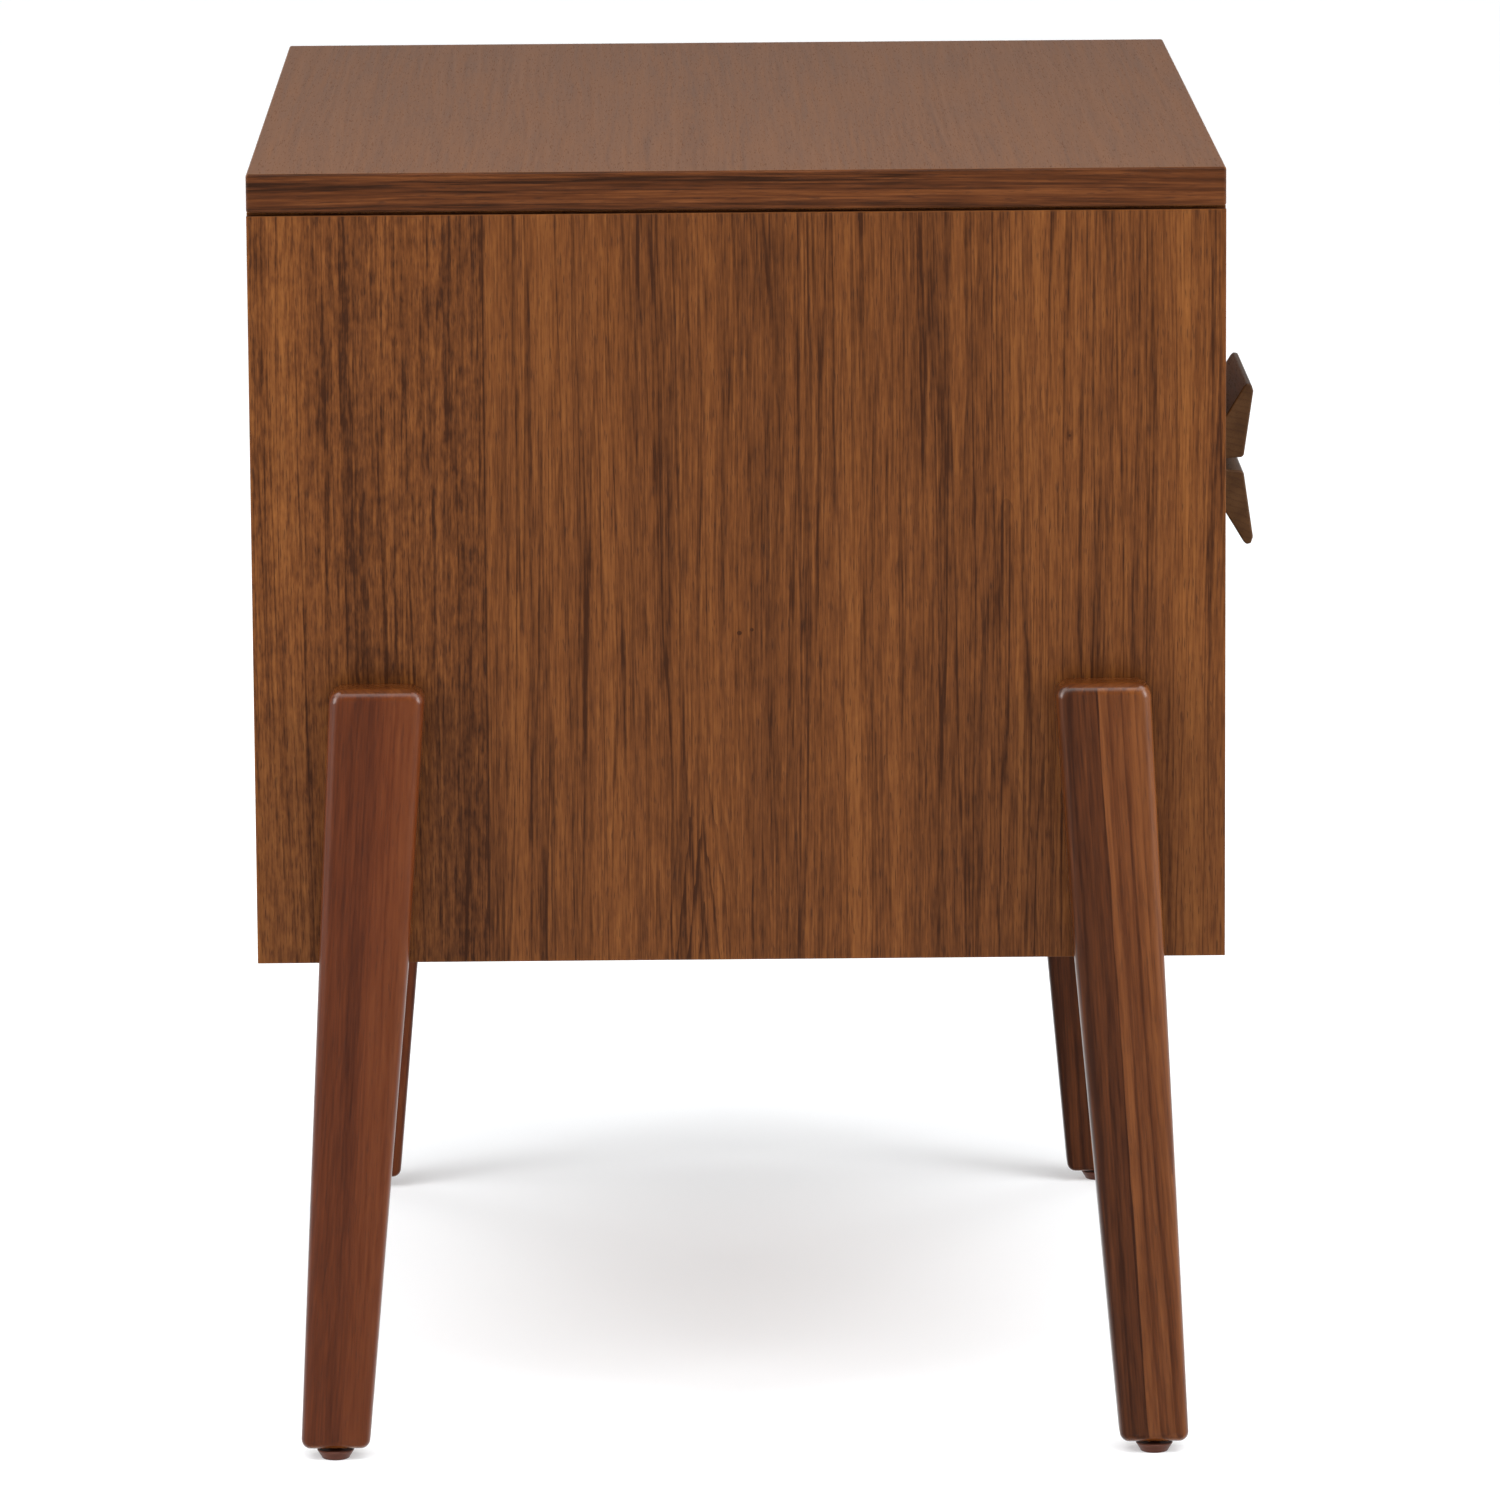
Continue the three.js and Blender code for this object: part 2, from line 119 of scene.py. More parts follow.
# How much the paper glows near the table and far from it, and the distances from it where that changes.
FLOOR_GLOW = [0.285, 0.39]
GLOW_RANGE = [1.0, 4.0]
FLOOR_PAPER = (0.73, 0.748, 0.764)


def in_scene(name, data):
    """A new object in the scene, of a mesh, a light or a camera."""
    made = bpy.data.objects.new(name, data)
    bpy.context.scene.collection.objects.link(made)
    return made


def make_camera():
    data = bpy.data.cameras.new("camera")
    data.lens = CAMERA_LENS
    data.sensor_width = SENSOR_WIDTH
    data.clip_end = CAMERA_REACH
    camera = in_scene("camera", data)
    right, up = CAMERA_RIGHT.normalized(), CAMERA_UP.normalized()
    turn = Matrix((right, up, right.cross(up))).transposed()
    camera.matrix_world = Matrix.Translation(CAMERA_PLACE) @ turn.to_4x4()
    bpy.context.scene.camera = camera


def make_softbox(name, place, width, height, power):
    data = bpy.data.lights.new(name, "AREA")
    data.shape = "RECTANGLE"
    data.size, data.size_y = width, height
    data.energy = power
    light = in_scene(name, data)
    light.location = place
    light.rotation_euler = (AIM - Vector(place)).to_track_quat("-Z", "Y").to_euler()


def make_floor_light(floor):
    """The table shades this light but isn't lit by it."""
    data = bpy.data.lights.new("floor_light", "SUN")
    data.energy = FLOOR_LIGHT
    data.angle = FLOOR_LIGHT_SPREAD
    light = in_scene("floor_light", data)
    light.rotation_euler = FLOOR_LIGHT_TURN
    lit = bpy.data.collections.new("lit_by_floor_light")
    lit.objects.link(floor)
    light.light_linking.receiver_collection = lit


def make_sky():
    """A plain grey studio, brighter behind the table. Its lower half shows only in reflections."""
    world = bpy.data.worlds.new("sky")
    world.use_nodes = True
    graph = Graph(world.node_tree)
    x, _, z = graph.split(graph.value("TexCoord", output="Generated"))
    behind, above = graph.range(x, *SKY_BEHIND), graph.range(z, *HORIZON)
    upper, lower = (graph.mix(behind, (low,) * 3, (high,) * 3) for low, high in (SKY_ABOVE, SKY_BELOW))
    graph.fill(world.node_tree.nodes["Background"], {"Color": graph.mix(above, lower, upper)})
    bpy.context.scene.world = world
    bpy.context.scene.view_settings.view_transform = "Standard"


def make_floor():
    """A pale sweep that glows a little, so that it stays white where the table doesn't shade it."""
    mesh = bpy.data.meshes.new("floor")
    corners = [(x * FLOOR_HALF, y * FLOOR_HALF, 0) for x, y in ((-1, -1), (1, -1), (1, 1), (-1, 1))]
    mesh.from_pydata(corners, [], [(0, 1, 2, 3)])
    floor = in_scene("floor", mesh)
    graph = Surface("floor_paper", {"Base Color": FLOOR_PAPER, "Roughness": 0.9, "Specular IOR Level": 0.0})
    x, y, _ = graph.position()
    glow = graph.range(length_of(x, y), *GLOW_RANGE, *FLOOR_GLOW)
    graph.fill(graph.shader, {"Emission Color": (1, 1, 1), "Emission Strength": glow})
    mesh.materials.append(graph.material)
    floor.visible_glossy = False
    make_floor_light(floor)


# ---- Node graphs ----
def srgb(red, green, blue):
    """A colour given as 0 to 255 display values, as linear light."""
    shares = (value / 255 for value in (red, green, blue))
    return tuple(s / 12.92 if s <= 0.04045 else ((s + 0.055) / 1.055) ** 2.4 for s in shares)


# The cosine between an edge's rounded normal and its flat one, where an edge's lightening begins and where it
# is whole.
EDGE_MATCH = [0.995, 0.9]


class Value:
    """A number that a material works out at each point: a node's output, ready for sums."""

    def __init__(self, graph, socket):
        self.graph, self.socket = graph, socket

    def __add__(self, other):
        return self.graph.math("ADD", self, other)

    def __sub__(self, other):
        return self.graph.math("SUBTRACT", self, other)

    def __mul__(self, other):
        return self.graph.math("MULTIPLY", self, other)

    def __pow__(self, power):
        return self.graph.math("POWER", self, power)

    def __abs__(self):
        return self.graph.math("ABSOLUTE", self)

    __radd__ = __add__


class Graph:
    """A node tree, built with short calls. What goes into a socket is a Value, a number or a colour."""

    def __init__(self, tree):
        self.tree = tree

    def fill(self, node, inputs):
        for name, value in inputs.items():
            socket = node.inputs[name]
            if isinstance(value, Value):
                self.tree.links.new(value.socket, socket)
            elif isinstance(value, tuple):
                socket.default_value = (*value, 1)[: len(socket.default_value)]
            else:
                socket.default_value = value

    def node(self, kind, inputs, **settings):
        made = self.tree.nodes.new("ShaderNode" + kind)
        for key, value in settings.items():
            setattr(made, key, value)
        self.fill(made, inputs)
        return made

    def value(self, kind, inputs=None, output=0, **settings):
        """The output of a new node."""
        return Value(self, self.node(kind, inputs or {}, **settings).outputs[output])

    def math(self, operation, a, b=0.0):
        return self.value("Math", {0: a, 1: b}, operation=operation)

    def vector(self, x, y, z):
        return self.value("CombineXYZ", {0: x, 1: y, 2: z})

    def split(self, vector):
        return [Value(self, output) for output in self.node("SeparateXYZ", {0: vector}).outputs]

    def range(self, value, low, high, to_low=0.0, to_high=1.0):
        """Value from low..high to to_low..to_high, kept inside those ends."""
        inputs = {0: value, 1: low, 2: high, 3: to_low, 4: to_high}
        return self.value("MapRange", inputs, interpolation_type="SMOOTHSTEP")

    def mix(self, share, a, b):
        return self.value("Mix", {0: share, 6: a, 7: b}, output=2, data_type="RGBA")

    def noise(self, vector, scale=1.0, detail=2.0, roughness=0.5):
        inputs = {"Vector": vector, "Scale": scale, "Detail": detail, "Roughness": roughness}
        return self.value("TexNoise", inputs)

    def ramp(self, value, stops):
        """Stops are [share, grey value or colour]."""
        made = self.node("ValToRGB", {0: value})
        elements = made.color_ramp.elements
        while len(elements) < len(stops):
            elements.new(1.0)
        for element, (share, colour) in zip(elements, stops):
            element.position = share
            element.color = (*colour, 1) if isinstance(colour, tuple) else (colour, colour, colour, 1)
        return Value(self, made.outputs[0])

    def position(self, turn=0.0):
        """The point's own coordinates in the piece, as three values, turned about X."""
        place = self.value("TexCoord", output="Object")
        if turn:
            place = self.value("Mapping", {"Vector": place, "Rotation": (turn, 0, 0)})
        return self.split(place)

    def edges(self, radius):
        """1 along the edges of the piece and 0 on its flats."""
        rounded = self.value("Bevel", {"Radius": radius}, samples=4)
        flat = self.value("NewGeometry", output="Normal")
        match = self.value("VectorMath", {0: rounded, 1: flat}, "Value", operation="DOT_PRODUCT")
        return self.range(match, *EDGE_MATCH)

    def bump(self, height, depth):
        """A height of 0 to 1, as a relief of that depth in metres."""
        return self.value("Bump", {"Height": height, "Distance": depth, "Strength": 1.0})


class Surface(Graph):
    """A material. Its plain values sit on the shader's own sockets."""

    def __init__(self, name, inputs):
        self.material = bpy.data.materials.new(name)
        self.material.use_nodes = True
        super().__init__(self.material.node_tree)
        self.shader = self.tree.nodes["Principled BSDF"]
        self.fill(self.shader, inputs)

    def finish(self, colour, roughness, normal):
        self.fill(self.shader, {"Base Color": colour, "Roughness": roughness, "Normal": normal})
        return self.material


def length_of(first, second):
    return (first ** 2.0 + second ** 2.0) ** 0.5


# ---- Woods ----
def shades(dark, mid, light, pore):
    """A wood's darkest lines, body, lightest streaks and open pores, from display values of 0 to 255."""
    return Group(dark=srgb(*dark), mid=srgb(*mid), light=srgb(*light), pore=srgb(*pore))


WALNUT = shades((62, 31, 11), (107, 60, 24), (137, 83, 36), (46, 23, 8))
TOP_WALNUT = shades((92, 54, 26), (118, 73, 38), (132, 84, 46), (74, 42, 20))
BAND_WALNUT = shades((50, 24, 6), (86, 44, 15), (114, 64, 27), (42, 20, 6))
LEG_WALNUT = shades((58, 25, 6), (94, 46, 12), (126, 70, 26), (46, 20, 5))
RED_WALNUT = shades((68, 27, 8), (99, 44, 12), (118, 59, 21), (50, 21, 5))
DARK_WALNUT = shades((52, 32, 18), (82, 52, 24), (104, 70, 38), (32, 20, 12))
PALE_WOOD = shades((176, 136, 92), (206, 170, 124), (222, 190, 146), (150, 112, 72))
PLYWOOD = shades((168, 128, 86), (196, 158, 112), (214, 180, 134), (140, 104, 66))

# How wide and how long the streaks of a board are, from the broadest to the finest.
STREAKS = [[38 * MM, 1400 * MM], [9 * MM, 700 * MM], [2.4 * MM, 120 * MM], [1.0 * MM, 24 * MM]]
WARP = Group(size=[60 * MM, 420 * MM], reach=12 * MM)
# The width and length of a pore, and where on its noise it begins and is whole.
PORE_SIZE = [0.55 * MM, 9 * MM]
PORE_RANGE = [0.6, 0.72]
# The width of a year's growth, and the share of it after which it darkens.
RING_PERIOD = 9 * MM
RING_DARKENS = 0.55
# How much worn edges and a painted edge highlight lighten a board, and how its fine streaks and pores change
# its gloss and height.
EDGE_WEAR_AND_HIGHLIGHT = Group(radius=1.2 * MM, share=0.35)
GLOSS_CHANGE = Group(fine=0.12, pore=0.18)
HEIGHT_CHANGE = Group(fine=0.35, pore=-0.65)
WOOD_RELIEF = 0.02 * MM

# The tone of the side's veneer from its rear edge to its front edge, as [share of the depth, tone].
LEAF_TONES = [
    [0.0, 0.57], [0.07, 0.55], [0.11, 0.47], [0.19, 0.45], [0.21, 0.3], [0.238, 0.28], [0.242, 0.5],
    [0.3, 0.42], [0.36, 0.46], [0.42, 0.45], [0.47, 0.5], [0.515, 0.43], [0.56, 0.47], [0.62, 0.49],
    [0.68, 0.38], [0.705, 0.43], [0.73, 0.55], [0.83, 0.57], [0.9, 0.54], [0.97, 0.58],
]
LEAF_STRENGTH = 0.9
LEAF_WANDER = 0.4
SIDE_GRAIN = (0.35, 0.5, 0.25, 0.75)
# The joint at the end of the rear leaf, in shares of the depth.
SEAM = Group(share=0.24, blur=0.002, half_width=0.0016, darkness=0.3)
RIPPLE = Group(size=[1.8 * MM, 6 * MM], strength=0.55, in_front=0.4)
DASHES = Group(size=[0.9 * MM, 6 * MM], range=[0.55, 0.7], darkness=0.1)
# Thin dark lines that wander along the grain, as [width, length, half thickness, darkness] of each kind.
SIDE_VEINS = [[17 * MM, 900 * MM, 0.02, 0.2], [6 * MM, 420 * MM, 0.035, 0.14]]
BAND_VEINS = [[5 * MM, 420 * MM, 0.05, 0.2]]
# Small knots and specks on the side, as [share of the depth, height, width, tallness, darkness].
SIDE_KNOTS = [
    [0.84, 479 * MM, 5 * MM, 1.3, 0.16], [0.84, 479 * MM, 1.6 * MM, 1.2, 0.2],
    [0.5, 388 * MM, 2.6 * MM, 0.9, 0.8], [0.513, 389.5 * MM, 1.8 * MM, 1.1, 0.7],
]
# The dark pointed tips low in the middle of the side: where, how steep, how rough and how wide they are.
SIDE_TIPS = Group(
    share=0.46, apex=305 * MM, slope=0.11, reach=16 * MM, period=5 * MM, darkness=0.3,
    rough_scale=(300.0, 40.0), rough=4 * MM, fade=[-60 * MM, 30 * MM],
)
# The faint tall arches towards the side's front.
SIDE_ARCH = Group(
    share=0.77, apex=90 * MM, slope=0.05, reach=[0.11, 0.03], darkness=0.11,
    rough_scale=(26.0, 7.0), rough=16 * MM,
)
# A leg's glue line and how it wavers, the bend of its grain, the step in the figure across the glue line,
# and its rings.
GLUE_LINE = Group(waves=18.0, waver=2.5 * MM, half_width=0.2 * MM)
LEG_FIGURE = Group(bend=10 * MM, step=0.3, ring=6.5 * MM, pores=[0.6, 0.74], relief=0.015 * MM)
# Cut ends: where the heart of the tree lies, its arcs, and its pores in cells per metre.
END_HEART = (0.08, 0.05)
# How much its slow waves sway the tone of an end, and the tone at their lowest.
END_TONE = (0.6, 0.25)
END_ARC = Group(period=3.2 * MM, darkness=0.1, waves=90.0, waver=3 * MM)
END_PORES = Group(scale=1400.0, range=[0.32, 0.12], share=0.5, gloss=0.2, depth=0.04 * MM)


def streaks(graph, place, size, detail=2.0, roughness=0.5):
    """Noise drawn out along the grain, in streaks of a [width, length]."""
    across, along, depth = place
    width, length = size
    vector = graph.vector(across * (1 / width), along * (1 / length), depth * (1 / width))
    return graph.noise(vector, detail=detail, roughness=roughness)


def wood_colour(graph, tone, palette):
    return graph.ramp(tone, [[0.18, palette.dark], [0.5, palette.mid], [0.82, palette.light]])


def grain(graph, place, weights):
    """The sum of the streaks about 0.5, each band weighted."""
    total = 0.5
    for size, weight in zip(STREAKS, weights):
        total += (streaks(graph, place, size, 3.0, 0.55) - 0.5) * weight
    return total


def veins(graph, place, kinds):
    """Thin lines where a slow noise passes its middle value, as a change of tone."""
    total = 0.0
    for width, length, thickness, darkness in kinds:
        gap = abs(streaks(graph, place, [width, length], 2.5, 0.6) - 0.5)
        total += graph.range(gap, thickness, 0.0) * -darkness
    return total


def board_axes(graph, along_axis, face_axis, turn=0.0):
    """The coordinates across the grain on the broad face, along the grain, and through the board."""
    place = graph.position(turn)
    along, depth = AXIS[along_axis], AXIS[face_axis]
    return place[3 - along - depth], place[along], place[depth]


def warped(graph, place, reach):
    """The coordinate across the grain, made to wander a little."""
    return place[0] + (streaks(graph, place, WARP.size, 1.0) - 0.5) * reach


def cathedral(across, along, centre, apex, slope):
    """The distance from a sloping heart line: level lines are tall arches about the centre."""
    return length_of(across - centre, (along - apex) * slope)


def rings(graph, distance, period):
    """Thin dark lines, one at the end of each ring."""
    return graph.range(graph.math("FRACT", distance * (1 / period)), RING_DARKENS, 1.0)


def wood(name, palette, along_axis, face_axis, weights=(0.5, 0.7, 0.8, 0.4), gloss=0.42, arch=None,
         ring_share=0.1, pore_share=0.45, specular=0.25, lines=()):
    """A board of one wood. Its arch, if any, is [centre, apex, slope] of the figure on its broad face."""
    graph = Surface(name, {"Specular IOR Level": specular})
    place = _, along, depth = board_axes(graph, along_axis, face_axis)
    bent = warped(graph, place, WARP.reach)
    if arch:
        bent = cathedral(bent, along, *arch)
    figure = bent, along, depth
    tone = grain(graph, figure, weights) + veins(graph, figure, lines)
    tone += rings(graph, bent + depth, RING_PERIOD) * -ring_share
    return dress(graph, tone, palette, place, gloss, pore_share)


def dress(graph, tone, palette, place, gloss, pore_share, pore_range=PORE_RANGE, relief=WOOD_RELIEF):
    """Colour, pores, edges lightened as wear and a painted highlight, roughness and relief from a tone of 0
    to 1.
    """
    holes = graph.range(streaks(graph, place, PORE_SIZE, 1.0), *pore_range)
    fine = streaks(graph, place, STREAKS[2])
    colour = graph.mix(holes * pore_share, wood_colour(graph, tone, palette), palette.pore)
    # Rounded edges are lightened: partly wear on the lacquer, partly a painted highlight where they catch the
    # light.
    colour = graph.mix(graph.edges(EDGE_WEAR_AND_HIGHLIGHT.radius) * EDGE_WEAR_AND_HIGHLIGHT.share, colour, palette.light)
    rough = fine * GLOSS_CHANGE.fine + holes * GLOSS_CHANGE.pore + (gloss - GLOSS_CHANGE.fine / 2)
    height = fine * HEIGHT_CHANGE.fine + holes * HEIGHT_CHANGE.pore
    return graph.finish(colour, rough, graph.bump(height, relief))


def side_veneer(name, palette):
    """The case's side: leaves of upright veneer, rippled and open-pored at the rear, arched in front."""
    graph = Surface(name, {"Specular IOR Level": 0.22})
    place = across, along, depth = board_axes(graph, "Z", "X")
    share = (across - CASE_BACK) * (-1 / CASE_DEPTH)
    bent = warped(graph, place, WARP.reach)
    figure = bent, along, depth
    tone = grain(graph, figure, SIDE_GRAIN) + veins(graph, figure, SIDE_VEINS)
    tone += side_leaves(graph, across, bent, share) + side_ripple(graph, place, share)
    tone += side_arches(graph, bent, along, share) + side_tips(graph, bent, along)
    tone += knots(graph, across, along)
    return dress(graph, tone, palette, place, gloss=0.4, pore_share=0.55)


def side_leaves(graph, across, bent, share):
    """The tone of each leaf of veneer, and the thin dark joint at the end of the rear one."""
    joint = graph.range(abs(share - SEAM.share), SEAM.half_width, 0.0) * -SEAM.darkness
    wander = (bent - across) * (-LEAF_WANDER / CASE_DEPTH)
    return joint + (graph.ramp(share + wander, LEAF_TONES) - 0.5) * LEAF_STRENGTH


def side_ripple(graph, place, share):
    """A small ripple, strongest in the rear leaf, which has short dark dashes as well."""
    rear = graph.range(share, SEAM.share + SEAM.blur, SEAM.share - SEAM.blur)
    ripple = (streaks(graph, place, RIPPLE.size) - 0.5) * RIPPLE.strength
    dashes = graph.range(streaks(graph, place, DASHES.size, 1.0), *DASHES.range) * rear
    return ripple * (rear * (1 - RIPPLE.in_front) + RIPPLE.in_front) + dashes * -DASHES.darkness


def roughened(graph, value, bent, along, figure):
    """A coordinate that strays by a slow noise, as its figure says."""
    sideways, lengthwise = figure.rough_scale
    stray = graph.noise(graph.vector(bent * sideways, along * lengthwise, 0.0))
    return value + (stray - 0.5) * figure.rough


def side_arches(graph, bent, along, share):
    """Thin dark lines in tall crooked arches, strongest at the middle of their reach."""
    centre = CASE_BACK - SIDE_ARCH.share * CASE_DEPTH
    crooked = roughened(graph, bent, bent, along, SIDE_ARCH)
    arched = cathedral(crooked, along, centre, SIDE_ARCH.apex, SIDE_ARCH.slope)
    near = graph.range(abs(share - SIDE_ARCH.share), *SIDE_ARCH.reach)
    return rings(graph, arched, RING_PERIOD) * near * -SIDE_ARCH.darkness


def side_tips(graph, bent, along):
    """Dark lines that meet in points and open downwards."""
    sideways = abs(bent + (SIDE_TIPS.share * CASE_DEPTH - CASE_BACK))
    below = along * -1.0 + SIDE_TIPS.apex
    level = roughened(graph, sideways + below * -SIDE_TIPS.slope, bent, along, SIDE_TIPS)
    near = graph.range(abs(level), SIDE_TIPS.reach, 0.0) * graph.range(below, *SIDE_TIPS.fade)
    return rings(graph, level, SIDE_TIPS.period) * near * -SIDE_TIPS.darkness


def knots(graph, across, along):
    """Small round marks, dark at the middle."""
    total = 0.0
    for share, height, width, tallness, darkness in SIDE_KNOTS:
        sideways = (across + (share * CASE_DEPTH - CASE_BACK)) * (2 / width)
        upwards = (along - height) * (2 / (width * tallness))
        total += graph.range(sideways ** 2.0 + upwards ** 2.0, 1.0, 0.1) * -darkness
    return total


def leg_wood(name, palette, end, weights, tones, stripes):
    """Two strips glued side by side along the leg, of [front-side, rear-side] tones."""
    graph = Surface(name, {"Specular IOR Level": 0.15, "Coat Weight": 1.0, "Coat Roughness": 0.3})
    low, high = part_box("front_left_leg" if end < 0 else "rear_left_leg")
    lean = -end * LEG_LEAN
    place = across, along, depth = board_axes(graph, "Z", "X", lean)
    middle = (low + high) / 2
    offset = across + (math.sin(lean) * middle.z - math.cos(lean) * middle.y)
    offset += (graph.noise(graph.vector(0.0, along * GLUE_LINE.waves, 0.0)) - 0.5) * GLUE_LINE.waver
    rear_strip = graph.range(offset, -GLUE_LINE.half_width, GLUE_LINE.half_width)
    bent = warped(graph, place, LEG_FIGURE.bend) + rear_strip * LEG_FIGURE.step
    tone = grain(graph, (bent, along, depth), weights) + graph.range(rear_strip, 0.0, 1.0, *tones)
    tone += rings(graph, bent + depth, LEG_FIGURE.ring) * -stripes
    return dress(graph, tone, palette, place, 0.34, 0.3, LEG_FIGURE.pores, LEG_FIGURE.relief)


def end_grain(name, palette, axis, gloss=0.45, specular=0.3, coat=0.0):
    """The cut end of a board: faint arcs and fine open pores."""
    graph = Surface(name, {"Specular IOR Level": specular, "Coat Weight": coat, "Coat Roughness": 0.1})
    place = graph.position()
    first, second = (place[i] for i in range(3) if i != AXIS[axis])
    cells = {"Vector": graph.vector(first, second, place[AXIS[axis]]), "Scale": END_PORES.scale}
    spots = graph.value("TexVoronoi", cells, "Distance")
    speckle = graph.range(spots, *END_PORES.range)
    waves = graph.noise(graph.vector(*place), END_ARC.waves, detail=3.0)
    arc = length_of(first + END_HEART[0], second + END_HEART[1]) + waves * END_ARC.waver
    tone = rings(graph, arc, END_ARC.period) * -END_ARC.darkness + (waves * END_TONE[0] + END_TONE[1])
    colour = graph.mix(speckle * END_PORES.share, wood_colour(graph, tone, palette), palette.pore)
    rough = speckle * END_PORES.gloss + gloss
    return graph.finish(colour, rough, graph.bump(speckle * -1.0, END_PORES.depth))


# ---- Metals and plastic ----
ROLLING = Group(size=[0.4 * MM, 60 * MM], gloss=0.16)
SCRATCH = Group(size=[0.25 * MM, 14 * MM], range=[0.66, 0.72], colour=(0.8, 0.8, 0.8), share=0.2, height=0.5)
CLOUD = Group(scale=55.0, range=[0.35, 0.65], shade=0.78, gloss=0.14)
STEEL_RELIEF = 0.01 * MM
PLASTIC_GRAIN = Group(scale=2600.0, gloss=0.2, relief=0.02 * MM)
PLASTIC_CLOUD = Group(scale=240.0, range=[0.3, 0.7], shade=0.85)
SCUFF = Group(radius=0.6 * MM, share=0.3, lighter=1.8)


def times(colour, factor):
    return tuple(channel * factor for channel in colour)


def steel(name, colour, along_axis, roughness):
    """Zinc-plated sheet: faint rolling lines, cloudy plating and fine scratches."""
    graph = Surface(name, {"Metallic": 1.0})
    place = across, along, depth = board_axes(graph, along_axis, "X" if along_axis != "X" else "Y")
    rolled = streaks(graph, place, ROLLING.size)
    cloud = graph.noise(graph.vector(along, across, depth), CLOUD.scale, detail=3.0)
    scratch = graph.range(streaks(graph, place, SCRATCH.size), *SCRATCH.range)
    tinted = graph.mix(graph.range(cloud, *CLOUD.range), colour, times(colour, CLOUD.shade))
    tinted = graph.mix(scratch * SCRATCH.share, tinted, SCRATCH.colour)
    even = roughness - (ROLLING.gloss + CLOUD.gloss) / 2
    rough = rolled * ROLLING.gloss + cloud * CLOUD.gloss + even
    return graph.finish(tinted, rough, graph.bump(rolled + scratch * -SCRATCH.height, STEEL_RELIEF))


def moulded_plastic(name, colour, roughness):
    """Moulded plastic with a fine eggshell texture and a little scuffing at its edges."""
    graph = Surface(name, {"Specular IOR Level": 0.4})
    place = graph.vector(*graph.position())
    grainy = graph.noise(place, PLASTIC_GRAIN.scale)
    cloud = graph.range(graph.noise(place, PLASTIC_CLOUD.scale), *PLASTIC_CLOUD.range)
    tinted = graph.mix(cloud, times(colour, PLASTIC_CLOUD.shade), colour)
    tinted = graph.mix(graph.edges(SCUFF.radius) * SCUFF.share, tinted, times(colour, SCUFF.lighter))
    rough = grainy * PLASTIC_GRAIN.gloss + roughness
    return graph.finish(tinted, rough, graph.bump(grainy, PLASTIC_GRAIN.relief))


# ---- The materials, by use ----
def make_looks():
    top = {"weights": (0.12, 0.25, 0.5, 0.4), "ring_share": 0.03, "pore_share": 0.3, "specular": 0.3}
    band = {"weights": (0.5, 0.9, 0.9, 0.8), "lines": BAND_VEINS}
    box = {"weights": (0.3, 0.4, 0.4, 0.3), "gloss": 0.5, "ring_share": 0.06, "pore_share": 0.25}
    ply = {"weights": (0.4, 0.3, 0.3, 0.2), "gloss": 0.55, "pore_share": 0.3}
    front_leg = {"weights": (0.3, 0.7, 0.6, 0.6), "tones": (0.16, -0.22), "stripes": 0.16}
    rear_leg = {"weights": (0.2, 0.45, 0.45, 0.6), "tones": (0.08, -0.08), "stripes": 0.05}
    return {
        "top": wood("top_veneer", TOP_WALNUT, "X", "Z", **top),
        "band_y": wood("edge_band_along_depth", BAND_WALNUT, "Y", "X", **band),
        "band_z": wood("edge_band_upright", WALNUT, "Z", "X"),
        "side": side_veneer("side_veneer", WALNUT),
        "inside": wood("inside_veneer", WALNUT, "X", "Z"),
        "front": wood("front_veneer", WALNUT, "X", "Y", arch=(0.42, -0.5, 0.06)),
        "back": wood("back_veneer", WALNUT, "Z", "Y", gloss=0.5),
        "leg_front": leg_wood("front_leg_wood", LEG_WALNUT, -1, **front_leg),
        "leg_rear": leg_wood("rear_leg_wood", RED_WALNUT, 1, **rear_leg),
        "leg_end": end_grain("leg_end_grain", LEG_WALNUT, "Z", gloss=0.36, specular=0.15, coat=1.0),
        "pull": wood("pull_wood", DARK_WALNUT, "X", "Y", pore_share=0.3),
        "pull_end": end_grain("pull_end_grain", DARK_WALNUT, "X"),
        "box_x": wood("box_wood_along_width", PALE_WOOD, "X", "Y", **box),
        "box_y": wood("box_wood_along_depth", PALE_WOOD, "Y", "X", **box),
        "box_end": end_grain("box_end_grain", PALE_WOOD, "Y"),
        "ply": wood("drawer_bottom_ply", PLYWOOD, "X", "Z", **ply),
        "ply_edge": wood("back_board_edge", PLYWOOD, "X", "Z"),
        "slide": steel("slide_zinc", (0.6, 0.61, 0.63), "Y", 0.45),
        "fastener": steel("fastener_zinc", (0.55, 0.56, 0.58), "X", 0.34),
        "plastic": moulded_plastic("glide_plastic_brown", srgb(94, 52, 38), 0.32),
    }


LOOKS = make_looks()


# ---- Mesh helpers ----
CORNER_STEPS = 8
EDGE_STEPS = 7
SMALLEST_ARC = 0.1 * MM
BEVEL_STEPS = 3
THREAD_STEPS = 6
ROUND_SIDES = 40
HOLE_SIDES = 24
# How far a cutter stands out of the face that it cuts.
PAST = 1 * MM
# Points closer than TOUCHING are one, faces within FLAT are one face, and an edge over SHARP is rounded.
TOUCHING = 0.002 * MM
FLAT = math.radians(1)
SHARP = math.radians(40)
# The angle in degrees over which a piece's edges are shaded sharp: usual, on sheet, and on threads.
CREASE = 35
SHEET_CREASE = 30
THREAD_CREASE = 28
# The least part of a face's normal along an axis for the face to count as lying across it.
FACES_ALONG = 0.7


